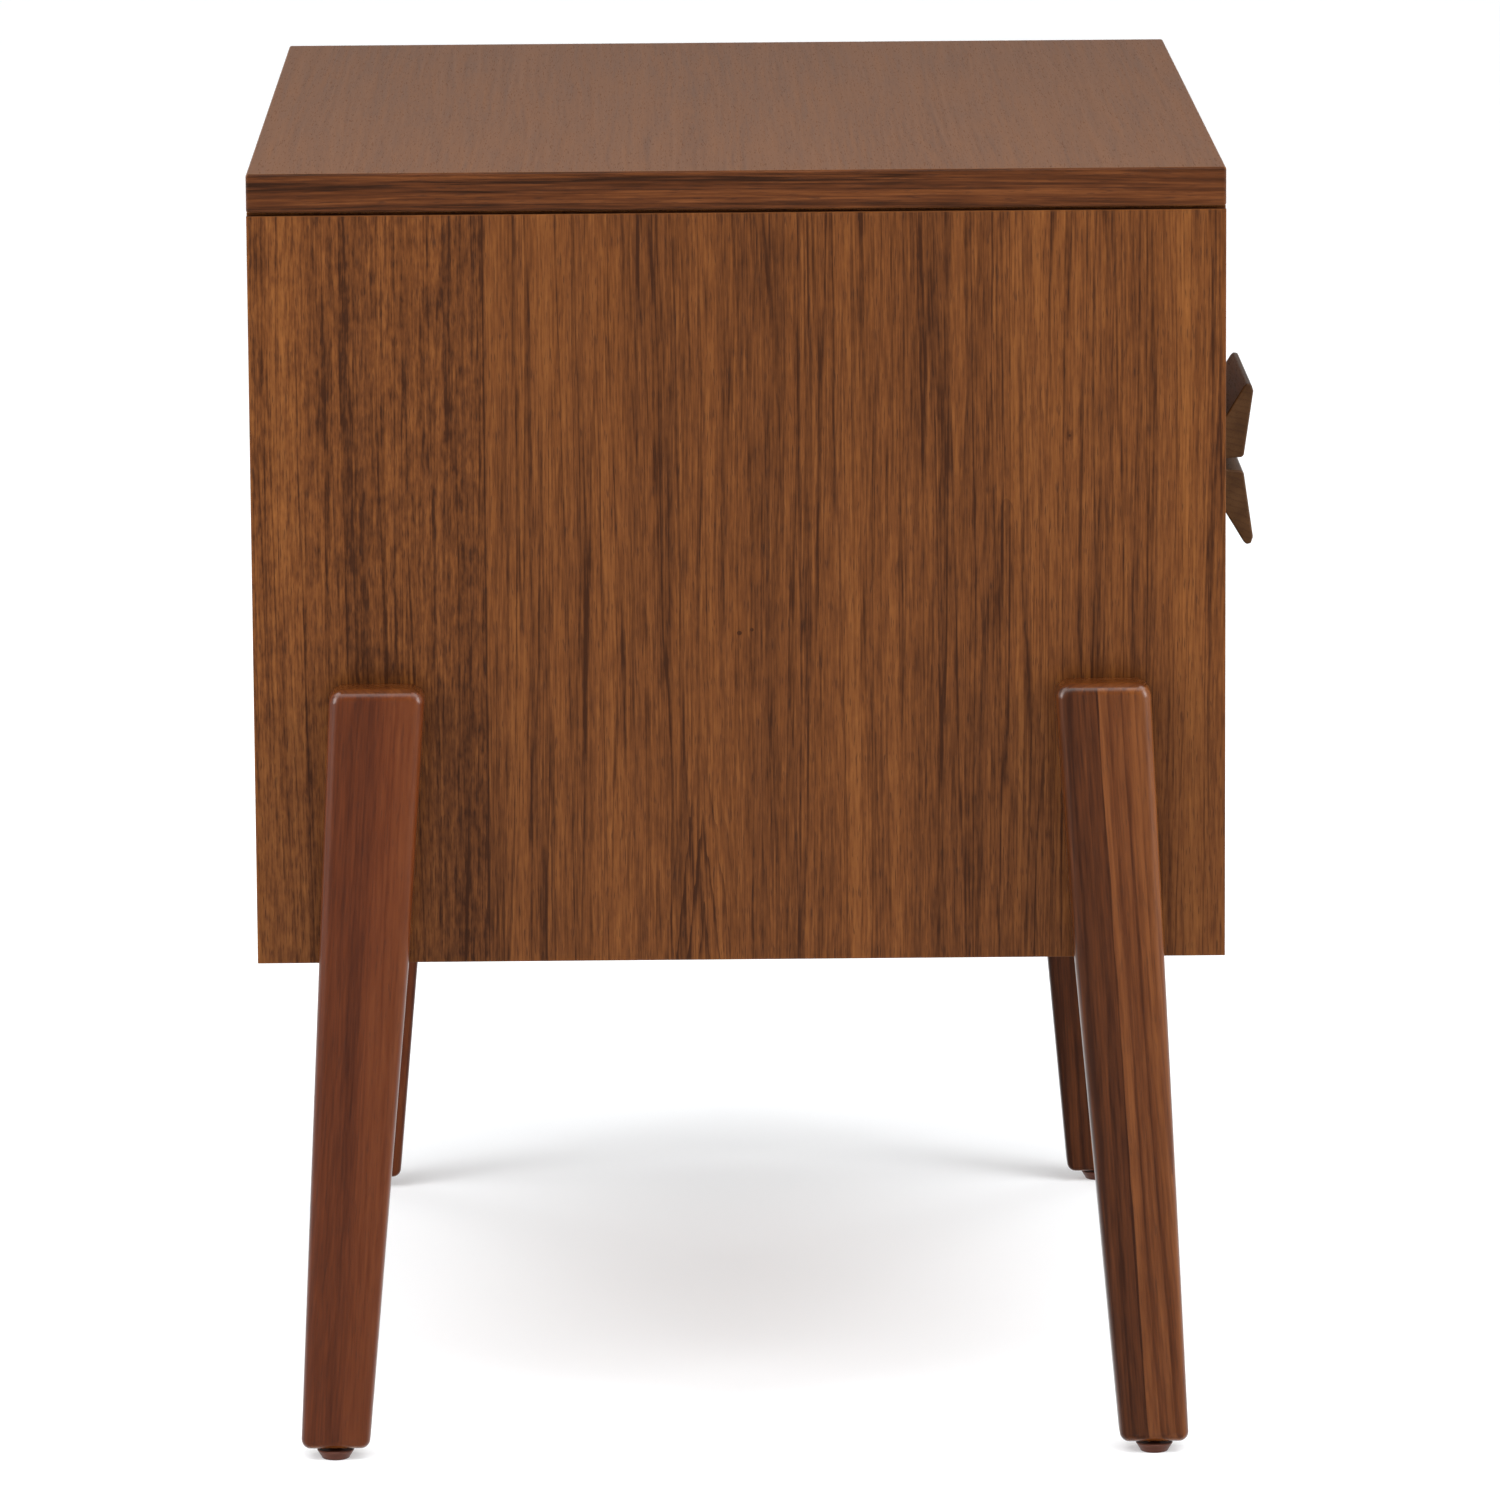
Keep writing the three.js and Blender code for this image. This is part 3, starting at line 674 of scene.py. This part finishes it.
def rounded_ring(corners, inset=0.0):
    """The outline through corners of (u, v, radius), moved in by inset. A hollow one has a minus radius."""
    points = []
    for i, (u, v, radius) in enumerate(corners):
        here = Vector((u, v))
        arrive = (here - Vector(corners[i - 1][:2])).normalized()
        leave = (Vector(corners[(i + 1) % len(corners)][:2]) - here).normalized()
        first, last = Vector((arrive.y, -arrive.x)), Vector((leave.y, -leave.x))
        middle = (first + last).normalized()
        arc = radius - inset if radius < 0 else max(radius - inset, SMALLEST_ARC)
        centre = here - middle * (arc + inset) / middle.dot(first)
        turn = first.angle_signed(last)
        for step in range(CORNER_STEPS + 1):
            outward = Matrix.Rotation(-turn * step / CORNER_STEPS, 2) @ first
            points.append(centre + outward * arc)
    return points


def edge_curve(radius):
    """A quarter round as [inset, distance in from the end], from the end face to the side."""
    if not radius:
        return [[0.0, 0.0]]
    turns = [math.pi / 2 * i / EDGE_STEPS for i in range(EDGE_STEPS + 1)]
    return [[radius * (1 - math.sin(t)), radius * (1 - math.cos(t))] for t in turns]


def prism(corners, axis, low, high, low_edge=0.0, high_edge=0.0):
    """A rounded outline drawn out along an axis, with its two end edges rounded."""
    stations = [[inset, low + along] for inset, along in edge_curve(low_edge)]
    stations += [[inset, high - along] for inset, along in reversed(edge_curve(high_edge))]
    outlines = []
    for inset, along in stations:
        outlines.append([at_axis(point, axis, along) for point in rounded_ring(corners, inset)])
    return skin(outlines)


def at_axis(point, axis, along):
    """A drawn point (u, v) set at a distance along an axis; u and v are the other two axes in order."""
    values = list(point)
    values.insert(AXIS[axis], along)
    return Vector(values)


def skin(outlines, looped=False):
    """A closed mesh through outlines of as many points each: capped at both ends, or joined end to end."""
    bm = bmesh.new()
    made = [[bm.verts.new(point) for point in outline] for outline in outlines]
    count = len(made[0])
    for low, high in zip(made, made[1:] + made[:looped]):
        for i in range(count):
            j = (i + 1) % count
            bm.faces.new((low[i], low[j], high[j], high[i]))
    if not looped:
        bm.faces.new(list(reversed(made[0])))
        bm.faces.new(made[-1])
    bmesh.ops.recalc_face_normals(bm, faces=bm.faces)
    return bm


def turned(rows, sides=ROUND_SIDES, looped=False):
    """A round solid or ring about +Z from [radius, height] rows. A radius may be a function of the angle."""
    outlines = []
    for radius, height in rows:
        outline = []
        for i in range(sides):
            angle = 2 * math.pi * i / sides
            reach = radius(angle) if callable(radius) else radius
            outline.append(Vector((reach * math.cos(angle), reach * math.sin(angle), height)))
        outlines.append(outline)
    return skin(outlines, looped)


def thread(screw, low, high):
    """The rows of a screw thread, which fades out at both ends."""
    pitch = screw.pitch
    count = round((high - low) / pitch * THREAD_STEPS)
    rows = []
    for i in range(count + 1):
        height = low + (high - low) * i / count
        fade = min(1.0, (height - low) / pitch, (high - height) / pitch)

        def reach(angle, height=height, fade=fade):
            phase = (height / pitch - angle / (2 * math.pi)) % 1
            return screw.radius - screw.depth * fade * abs(2 * phase - 1)

        rows.append([reach, height])
    return rows


def hexagon(across_flats):
    """The radius of a hexagonal socket at each angle."""
    return lambda angle: across_flats / 2 / math.cos(angle % (math.pi / 3) - math.pi / 6)


def cross(radius):
    """The radius of a cross-shaped recess at each angle."""
    return lambda angle: radius * (0.35 + 0.65 * abs(math.cos(2 * angle)) ** 3)


def rounded_box(low, high, radius):
    """A box with all its edges rounded."""
    bm = bmesh.new()
    bmesh.ops.create_cube(bm, size=1.0)
    size, centre = high - low, (high + low) / 2
    bmesh.ops.transform(bm, matrix=Matrix.Translation(centre) @ Matrix.Diagonal((*size, 1)), verts=bm.verts)
    bmesh.ops.bevel(bm, geom=bm.edges, offset=radius, segments=BEVEL_STEPS, profile=0.5, affect="EDGES")
    return bm


def softened(node, radius):
    """A CAD node's mesh with each flat face made whole and its sharp edges rounded."""
    bm = bmesh.new()
    bm.from_mesh(frame["nodes"][node].data)
    bmesh.ops.remove_doubles(bm, verts=bm.verts, dist=TOUCHING)
    bmesh.ops.dissolve_limit(bm, angle_limit=FLAT, verts=bm.verts, edges=bm.edges)
    sharp = [edge for edge in bm.edges if edge.calc_face_angle(0.0) > SHARP]
    bmesh.ops.bevel(
        bm, geom=sharp, offset=radius, segments=BEVEL_STEPS, profile=0.5, affect="EDGES", clamp_overlap=True
    )
    return bm


def mesh_from(bm, name):
    mesh = bpy.data.meshes.new(name)
    bm.to_mesh(mesh)
    bm.free()
    return mesh


def joined(parts):
    """Several meshes as one."""
    whole = bmesh.new()
    for part in parts:
        mesh = mesh_from(part, "part")
        whole.from_mesh(mesh)
        bpy.data.meshes.remove(mesh)
    return whole


def cut(bm, tools):
    """The mesh with every tool cut out of it."""
    blank = in_scene("blank", mesh_from(bm, "blank"))
    tool = in_scene("tools", mesh_from(joined(tools), "tools"))
    modifier = blank.modifiers.new("cut", "BOOLEAN")
    modifier.operation, modifier.solver, modifier.object = "DIFFERENCE", "EXACT", tool
    bpy.context.view_layer.update()
    result = bpy.data.meshes.new_from_object(blank.evaluated_get(bpy.context.evaluated_depsgraph_get()))
    whole = bmesh.new()
    whole.from_mesh(result)
    for made in (blank, tool):
        bpy.data.objects.remove(made)
    return whole


def moved(bm, matrix):
    bmesh.ops.transform(bm, matrix=matrix, verts=bm.verts)
    return bm


def pointing(axis, side, place):
    """A matrix that lays something made along +Z along +X, -X, +Y or -Y instead, at a place."""
    about, turn = ("Y", side) if axis == "X" else ("X", -side)
    return Matrix.Translation(place) @ Matrix.Rotation(turn * math.pi / 2, 4, about)


def drill(radius, depth, axis, side, place):
    """A round cutter that goes to a depth below the face at a place."""
    return moved(turned([[radius, -PAST], [radius, depth]], HOLE_SIDES), pointing(axis, side, place))


def piece(name, bm, looks, body, stands_for=(), end_axis=None, sharp=CREASE):
    """The mesh as a piece of the table. Faces across end_axis take the second of its looks."""
    mesh = mesh_from(bm, name)
    for look in looks:
        mesh.materials.append(LOOKS[look])
    for polygon in mesh.polygons:
        polygon.use_smooth = True
        polygon.material_index = int(bool(end_axis) and abs(polygon.normal[AXIS[end_axis]]) > FACES_ALONG)
    mesh.set_sharp_from_angle(angle=math.radians(sharp))
    made = in_scene(name, mesh)
    weighted = made.modifiers.new("even_flats", "WEIGHTED_NORMAL")
    weighted.keep_sharp = True
    if stands_for:
        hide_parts(*stands_for)
    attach(made, body)


def finished(node, bm, looks, end_axis=None, sharp=CREASE):
    """A refined piece that stands for one CAD node and moves with its body."""
    body = frame["nodes"][node]["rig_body"]
    piece(f"{node}_finished", bm, looks, body, [node], end_axis, sharp)


# ---- Case ----
TOP_EDGE = 1.2 * MM
BOARD_EDGE = 1.0 * MM
THIN_EDGE = 0.3 * MM


def make_case():
    top = rounded_box(*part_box("top_panel"), TOP_EDGE)
    finished("top_panel", top, ["top", "band_y"], "X")
    for side in SIDES:
        node = f"{side}_side_panel"
        finished(node, softened(node, BOARD_EDGE), ["side", "band_y"], "Z")
    for node in ("bottom_panel", "top_front_rail", "top_rear_rail", "mid_rail"):
        board = rounded_box(*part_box(node), BOARD_EDGE)
        finished(node, board, ["inside", "band_y"], "X")
    back = rounded_box(*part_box("back_panel"), THIN_EDGE)
    finished("back_panel", back, ["back", "ply_edge"], "Z")


# ---- Legs, bolts and glides ----
# The leg's outline, as (distance in from the case's front or back edge, height, corner radius) in mm.
LEG_OUTLINE = [(35.5, 366, 7), (79.8, 366, 7), (70.3, 234, 60), (49.3, 5.5, 4.5), (17.3, 5.5, 4.5)]
LEG_EDGES = Group(outer=5.5 * MM, inner=2.5 * MM)
# Each bolt's distance in from the case's edge and its height, in mm.
BOLT_PLACES = {"upper": (56.3, 344), "lower": (51.3, 264)}
BOLT_HOLE = Group(radius=3.4 * MM, depth=14.5 * MM)
POCKET = Group(radius=5.3 * MM, top=24.5 * MM)
M6 = Group(radius=3 * MM, depth=0.45 * MM, pitch=1.0 * MM)
# The bolt's button head. Its crown has a point at each of these shares of its radius.
BUTTON = Group(height=3.7 * MM, rim=1.5 * MM, socket=4 * MM, socket_depth=2.2 * MM, rounding=0.2 * MM)
BUTTON_CROWN = (0.7, 0.82, 0.92, 1.0)
INSERT = Group(bore=3.3 * MM, groove=0.35 * MM, chamfer=0.5 * MM, knurls=30, knurl=0.12 * MM)
GLIDE = Group(height=4.5 * MM, base=6.7 * MM, rounding=0.9 * MM, steps=5)
STEM = Group(radius=3 * MM, depth=0.4 * MM, pitch=1.25 * MM)


def in_from(end, distance):
    """The Y of a point a distance in from the case's front or back edge."""
    return CASE_FRONT + distance if end < 0 else CASE_BACK - distance


def make_leg(node, side, end):
    low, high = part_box(node)
    corners = [(in_from(end, d * MM), z * MM, r * MM) for d, z, r in LEG_OUTLINE]
    if end < 0:
        corners.reverse()
    edges = [LEG_EDGES.outer, LEG_EDGES.inner]
    blank = prism(corners, "X", low.x, high.x, *edges[::-side])
    inner = high.x if side < 0 else low.x
    tools = []
    for distance, height in BOLT_PLACES.values():
        place = Vector((inner, in_from(end, distance * MM), height * MM))
        tools.append(drill(BOLT_HOLE.radius, BOLT_HOLE.depth, "X", side, place))
    foot = glide_centre(node.replace("_leg", "_glide"))
    pocket = turned([[POCKET.radius, foot.z], [POCKET.radius, POCKET.top]])
    tools.append(moved(pocket, Matrix.Translation((foot.x, foot.y, 0))))
    looks = ["leg_front" if end < 0 else "leg_rear", "leg_end"]
    finished(node, cut(blank, tools), looks, "Z")


def glide_centre(node):
    low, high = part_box(node)
    return Vector(((low.x + high.x) / 2, (low.y + high.y) / 2, low.z))


def make_bolt(node, side):
    """A button-head bolt with a hexagonal socket, pointing out through the case's side."""
    low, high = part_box(node)
    length, radius = high.x - low.x, (high.z - low.z) / 2
    head, rounding, socket = BUTTON.height, BUTTON.rounding, hexagon(BUTTON.socket)
    rows = [[socket, BUTTON.socket_depth], [socket, 0.35 * MM], [2.7 * MM, 0.2 * MM]]
    for share in BUTTON_CROWN:
        rise = head - (head - BUTTON.rim) * math.sqrt(1 - share ** 2)
        rows.append([radius * share, rise * 0.7 + 0.3 * MM])
    rows += [[radius, head - rounding], [radius - rounding, head], [M6.radius, head]]
    rows += thread(M6, head + 1.5 * MM, length - 1 * MM)
    rows += [[M6.radius - 1 * MM, length]]
    start = low.x if side > 0 else high.x
    place = Vector((start, (low.y + high.y) / 2, (low.z + high.z) / 2))
    bolt = moved(turned(rows, 36), pointing("X", side, place))
    finished(node, bolt, ["fastener"], sharp=THREAD_CREASE)


def make_insert(node):
    """A threaded ring pressed into the foot, with knurled bands outside and a chamfered mouth."""
    low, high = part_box(node)
    outer, height = (high.x - low.x) / 2, high.z - low.z
    bore, groove, chamfer = INSERT.bore, INSERT.groove, INSERT.chamfer

    def knurled(angle):
        return outer - INSERT.knurl * (1 + math.cos(angle * INSERT.knurls)) / 2

    half = [[bore, chamfer], [bore + chamfer, 0], [outer - chamfer, 0], [knurled, chamfer]]
    half += [[knurled, height * 0.4], [outer - groove, height * 0.44]]
    profile = half + [[radius, height - along] for radius, along in reversed(half)]
    ring = moved(turned(profile, INSERT.knurls * 3, looped=True), Matrix.Translation(glide_centre(node)))
    finished(node, ring, ["fastener"])


def make_glide(node):
    """A tapered plastic foot with a softened rim, a shallow ring underneath and a threaded stem."""
    low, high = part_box(node)
    top, length = (high.x - low.x) / 2, high.z - low.z
    height, base, rounding = GLIDE.height, GLIDE.base, GLIDE.rounding
    rows = [[3.6 * MM, 0.5 * MM], [4.2 * MM, 0.5 * MM], [4.5 * MM, 0.0]]
    for step in range(GLIDE.steps + 1):
        turn = math.pi / 2 * step / GLIDE.steps
        rows.append([base - rounding * (1 - math.sin(turn)), rounding * (1 - math.cos(turn))])
    rows += [[base + (top - base) * 0.55, height * 0.55], [top - 0.35 * MM, height - 1.1 * MM]]
    rows += [[top, height - 0.7 * MM], [top, height - 0.3 * MM], [top - 0.3 * MM, height]]
    rows += [[STEM.radius, height]]
    rows += thread(STEM, height + 0.6 * MM, length - 0.8 * MM)
    rows += [[STEM.radius - 0.8 * MM, length]]
    glide = moved(turned(rows, 48), Matrix.Translation(glide_centre(node)))
    finished(node, glide, ["plastic"], sharp=THREAD_CREASE)


def make_legs():
    for side_name, side in SIDES.items():
        for end_name, end in ENDS.items():
            place = f"{end_name}_{side_name}"
            make_leg(f"{place}_leg", side, end)
            for level in BOLT_PLACES:
                make_bolt(f"{place}_{level}_leg_bolt", side)
            make_insert(f"{place}_glide_insert")
            make_glide(f"{place}_glide")


# ---- Drawers ----
# The pull's section, as (distance out from the drawer front, distance from the split, radius) in mm.
PULL_SECTION = [
    (0.3, 1.5, 1.1), (21.8, 3.4, 2.0), (26.5, 35.8, 2.4), (25.4, 39, 1.15), (23.2, 39.4, 1.15),
    (21.8, 38, 1.15), (6.5, 12.8, -7), (0.3, 14.5, 1.1),
]
PULL_START = PULL_SECTION[0][1] * MM
PULL_EDGE = 1.0 * MM
PULL_HOLE = Group(radius=2.4 * MM, depth=9.5 * MM)
M4 = Group(radius=1.9 * MM, depth=0.3 * MM, pitch=0.7 * MM, start=4 * MM, end=0.6 * MM)
PAN_HEIGHT = 2.4 * MM
# The rim of a pan head, as [share of the radius, share of the height].
PAN_RIM = ((0.7, 0.0), (0.86, 0.1), (0.96, 0.28), (1.0, 0.5), (1.0, 1.0))
BOX_SCREW = Group(radius=3.6 * MM, height=2.2 * MM, across=(-0.72, 0.72), up=(0.3, 0.78))
BOX_EDGE = 1.2 * MM
SCREW_SIDES = 32


def make_pull(name, away):
    node = f"{name}_pull"
    low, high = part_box(node)
    split = low.z - PULL_START if away > 0 else high.z + PULL_START
    corners = [(CASE_FRONT - out * MM, split + away * rise * MM, r * MM) for out, rise, r in PULL_SECTION]
    if away > 0:
        corners.reverse()
    blank = prism(corners, "X", low.x, high.x, PULL_EDGE, PULL_EDGE)
    tools = []
    for side in SIDES:
        screw_low, screw_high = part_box(f"{name}_pull_{side}_screw")
        place = (screw_low + screw_high) / 2
        place.y = CASE_FRONT
        tools.append(drill(PULL_HOLE.radius, PULL_HOLE.depth, "Y", -1, place))
    finished(node, cut(blank, tools), ["pull", "pull_end"], "X")


def make_pull_screw(node):
    """A pan-head screw with a cross recess, pointing forward through the drawer front."""
    low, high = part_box(node)
    radius, length = (high.z - low.z) / 2, high.y - low.y
    rows = pan_head(radius, PAN_HEIGHT) + [[M4.radius, PAN_HEIGHT]]
    rows += thread(M4, M4.start, length - M4.end)
    rows += [[M4.radius - 0.7 * MM, length]]
    place = Vector(((low.x + high.x) / 2, high.y, (low.z + high.z) / 2))
    screw = moved(turned(rows, SCREW_SIDES), pointing("Y", -1, place))
    finished(node, screw, ["fastener"], sharp=THREAD_CREASE)


def pan_head(radius, height):
    """The rows of a pan head with a cross recess, from its face to its underside."""
    rows = [[cross(radius * 0.35), height * 0.65], [cross(radius * 0.55), height * 0.08]]
    return rows + [[radius * share, height * lift] for share, lift in PAN_RIM]


def make_screw_heads(name, screw, places, axis, side, body):
    """Pan heads as one piece, each with its face at a place and pointing along the axis."""
    heads = []
    for place in places:
        head = turned(pan_head(screw.radius, screw.height), SCREW_SIDES)
        heads.append(moved(head, pointing(axis, side, Vector(place))))
    piece(name, joined(heads), ["fastener"], body)


def make_box_screws(name):
    """The screws inside the drawer that hold its front to the box."""
    low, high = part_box(f"{name}_drawer_box_front")
    heights = [low.lerp(high, up).z for up in BOX_SCREW.up]
    places = [(across * high.x, high.y + BOX_SCREW.height, z) for across in BOX_SCREW.across for z in heights]
    make_screw_heads(f"{name}_drawer_front_screws", BOX_SCREW, places, "Y", -1, f"{name}_drawer")


def make_drawer(name, away):
    front = f"{name}_drawer_front"
    finished(front, softened(front, BOARD_EDGE), ["front", "band_z"], "X")
    for part in ("box_front", "back"):
        node = f"{name}_drawer_{part}"
        finished(node, softened(node, BOX_EDGE), ["box_x", "box_end"], "X")
    for side in SIDES:
        node = f"{name}_drawer_{side}_side"
        finished(node, softened(node, BOX_EDGE), ["box_y", "box_end"], "Y")
    bottom = f"{name}_drawer_bottom"
    finished(bottom, rounded_box(*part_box(bottom), THIN_EDGE), ["ply"])
    make_pull(name, away)
    for side in SIDES:
        make_pull_screw(f"{name}_pull_{side}_screw")
    make_box_screws(name)


# ---- Drawer slides ----
SHEET = 1.2 * MM
BEND = 1.5 * MM
LIP = 1.9 * MM
# Places along a slide's member are shares of its length, from its front end.
SLOT = Group(length=9 * MM, width=4.4 * MM, roundness=0.98)
SLOT_PLACES = {"case": (0.06, 0.3, 0.62, 0.9), "middle": (0.12, 0.5, 0.88), "drawer": (0.14, 0.42, 0.72)}
SLIDE_SCREW = Group(radius=3.4 * MM, height=1.9 * MM, along=(0.05, 0.34, 0.9))
BALL = {"radius": 1.25 * MM, "u_segments": 14, "v_segments": 9}
CAGE = Group(start=0.03, length=150 * MM, width=3.4 * MM, sheet=0.5 * MM, edge=0.12 * MM, balls=10)


def bent_path(points, radius):
    """A line through points with its inner corners rounded."""
    path = [Vector(points[0])]
    for before, here, after in zip(points, points[1:], points[2:]):
        here = Vector(here)
        arrive, leave = (Vector(before) - here).normalized(), (Vector(after) - here).normalized()
        for step in range(CORNER_STEPS + 1):
            share = step / CORNER_STEPS
            start, end = here + arrive * radius, here + leave * radius
            path.append(start.lerp(here, share).lerp(here.lerp(end, share), share))
    path.append(Vector(points[-1]))
    return path


def sheet_section(path, thickness):
    """The closed outline of a sheet bent along a path."""
    sides = []
    for i, point in enumerate(path):
        along = (path[min(i + 1, len(path) - 1)] - path[max(i - 1, 0)]).normalized()
        sides.append(Vector((-along.y, along.x)) * thickness / 2)
    outer = [point + side for point, side in zip(path, sides)]
    inner = [point - side for point, side in zip(path, sides)]
    return outer + inner[::-1]


def make_slide_member(node, member, side):
    """A folded steel channel with lipped flanges and slots punched in its web."""
    low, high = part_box(node)
    opening = side if member == "drawer" else -side
    web, edge = (low.x, high.x) if opening > 0 else (high.x, low.x)
    web, edge = web + opening * SHEET / 2, edge - opening * SHEET / 2
    top, bottom = high.z - SHEET / 2, low.z + SHEET / 2
    points = [(edge, top - LIP), (edge, top), (web, top), (web, bottom), (edge, bottom), (edge, bottom + LIP)]
    section = sheet_section(bent_path(points, BEND), SHEET)
    channel = skin([[Vector((p.x, y, p.y)) for p in section] for y in (low.y, high.y)])
    tools = []
    half = SLOT.width / 2
    down, up = (low.z + high.z) / 2 - half, (low.z + high.z) / 2 + half
    for share in SLOT_PLACES[member]:
        start = low.y + share * (high.y - low.y)
        end = start + SLOT.length
        corners = [(start, down), (end, down), (end, up), (start, up)]
        outline = [(y, z, half * SLOT.roundness) for y, z in corners]
        tools.append(prism(outline, "X", web - 2 * SHEET, web + 2 * SHEET))
    finished(node, cut(channel, tools), ["slide"], sharp=SHEET_CREASE)


def make_ball_cages(name, side_name):
    """Two rows of balls in thin strips, above and below, between each pair of nested members."""
    nested = {m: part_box(f"{name}_{side_name}_slide_{m}_member") for m in ("case", "middle", "drawer")}
    pairs = (("case", "middle", "case"), ("middle", "drawer", f"{name}_{side_name}_slide_middle"))
    for outer, inner, body in pairs:
        (outer_low, outer_high), (inner_low, inner_high) = nested[outer], nested[inner]
        middle_x = (max(outer_low.x, inner_low.x) + min(outer_high.x, inner_high.x)) / 2
        start = outer_low.lerp(outer_high, CAGE.start).y
        parts = []
        for height in ((outer_high.z - SHEET + inner_high.z) / 2, (outer_low.z + SHEET + inner_low.z) / 2):
            half = Vector((CAGE.width / 2, 0, CAGE.sheet / 2))
            low = Vector((middle_x, start, height)) - half
            high = Vector((middle_x, start + CAGE.length, height)) + half
            parts.append(rounded_box(low, high, CAGE.edge))
            for i in range(CAGE.balls):
                ball = bmesh.new()
                bmesh.ops.create_uvsphere(ball, **BALL)
                share = (i + 0.5) / CAGE.balls
                place = Vector((middle_x, start + share * CAGE.length, height))
                parts.append(moved(ball, Matrix.Translation(place)))
        cage = f"{name}_{side_name}_{outer}_ball_cage"
        piece(cage, joined(parts), ["fastener"], body)


def make_slide_screws(name, side_name, side):
    """The pan-head screws that hold the drawer's member to the drawer's side."""
    low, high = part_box(f"{name}_{side_name}_slide_drawer_member")
    face = (low.x if side > 0 else high.x) + side * (SHEET + SLIDE_SCREW.height)
    middle = (low.z + high.z) / 2
    places = [(face, low.lerp(high, share).y, middle) for share in SLIDE_SCREW.along]
    make_screw_heads(f"{name}_{side_name}_slide_screws", SLIDE_SCREW, places, "X", -side, f"{name}_drawer")


def make_slides():
    for name in DRAWERS:
        for side_name, side in SIDES.items():
            for member in ("case", "middle", "drawer"):
                make_slide_member(f"{name}_{side_name}_slide_{member}_member", member, side)
            make_ball_cages(name, side_name)
            make_slide_screws(name, side_name, side)


def main():
    make_camera()
    make_sky()
    make_floor()
    for box in SOFTBOXES:
        make_softbox(*box)
    make_case()
    make_legs()
    for name, away in DRAWERS.items():
        make_drawer(name, away)
    make_slides()


main()
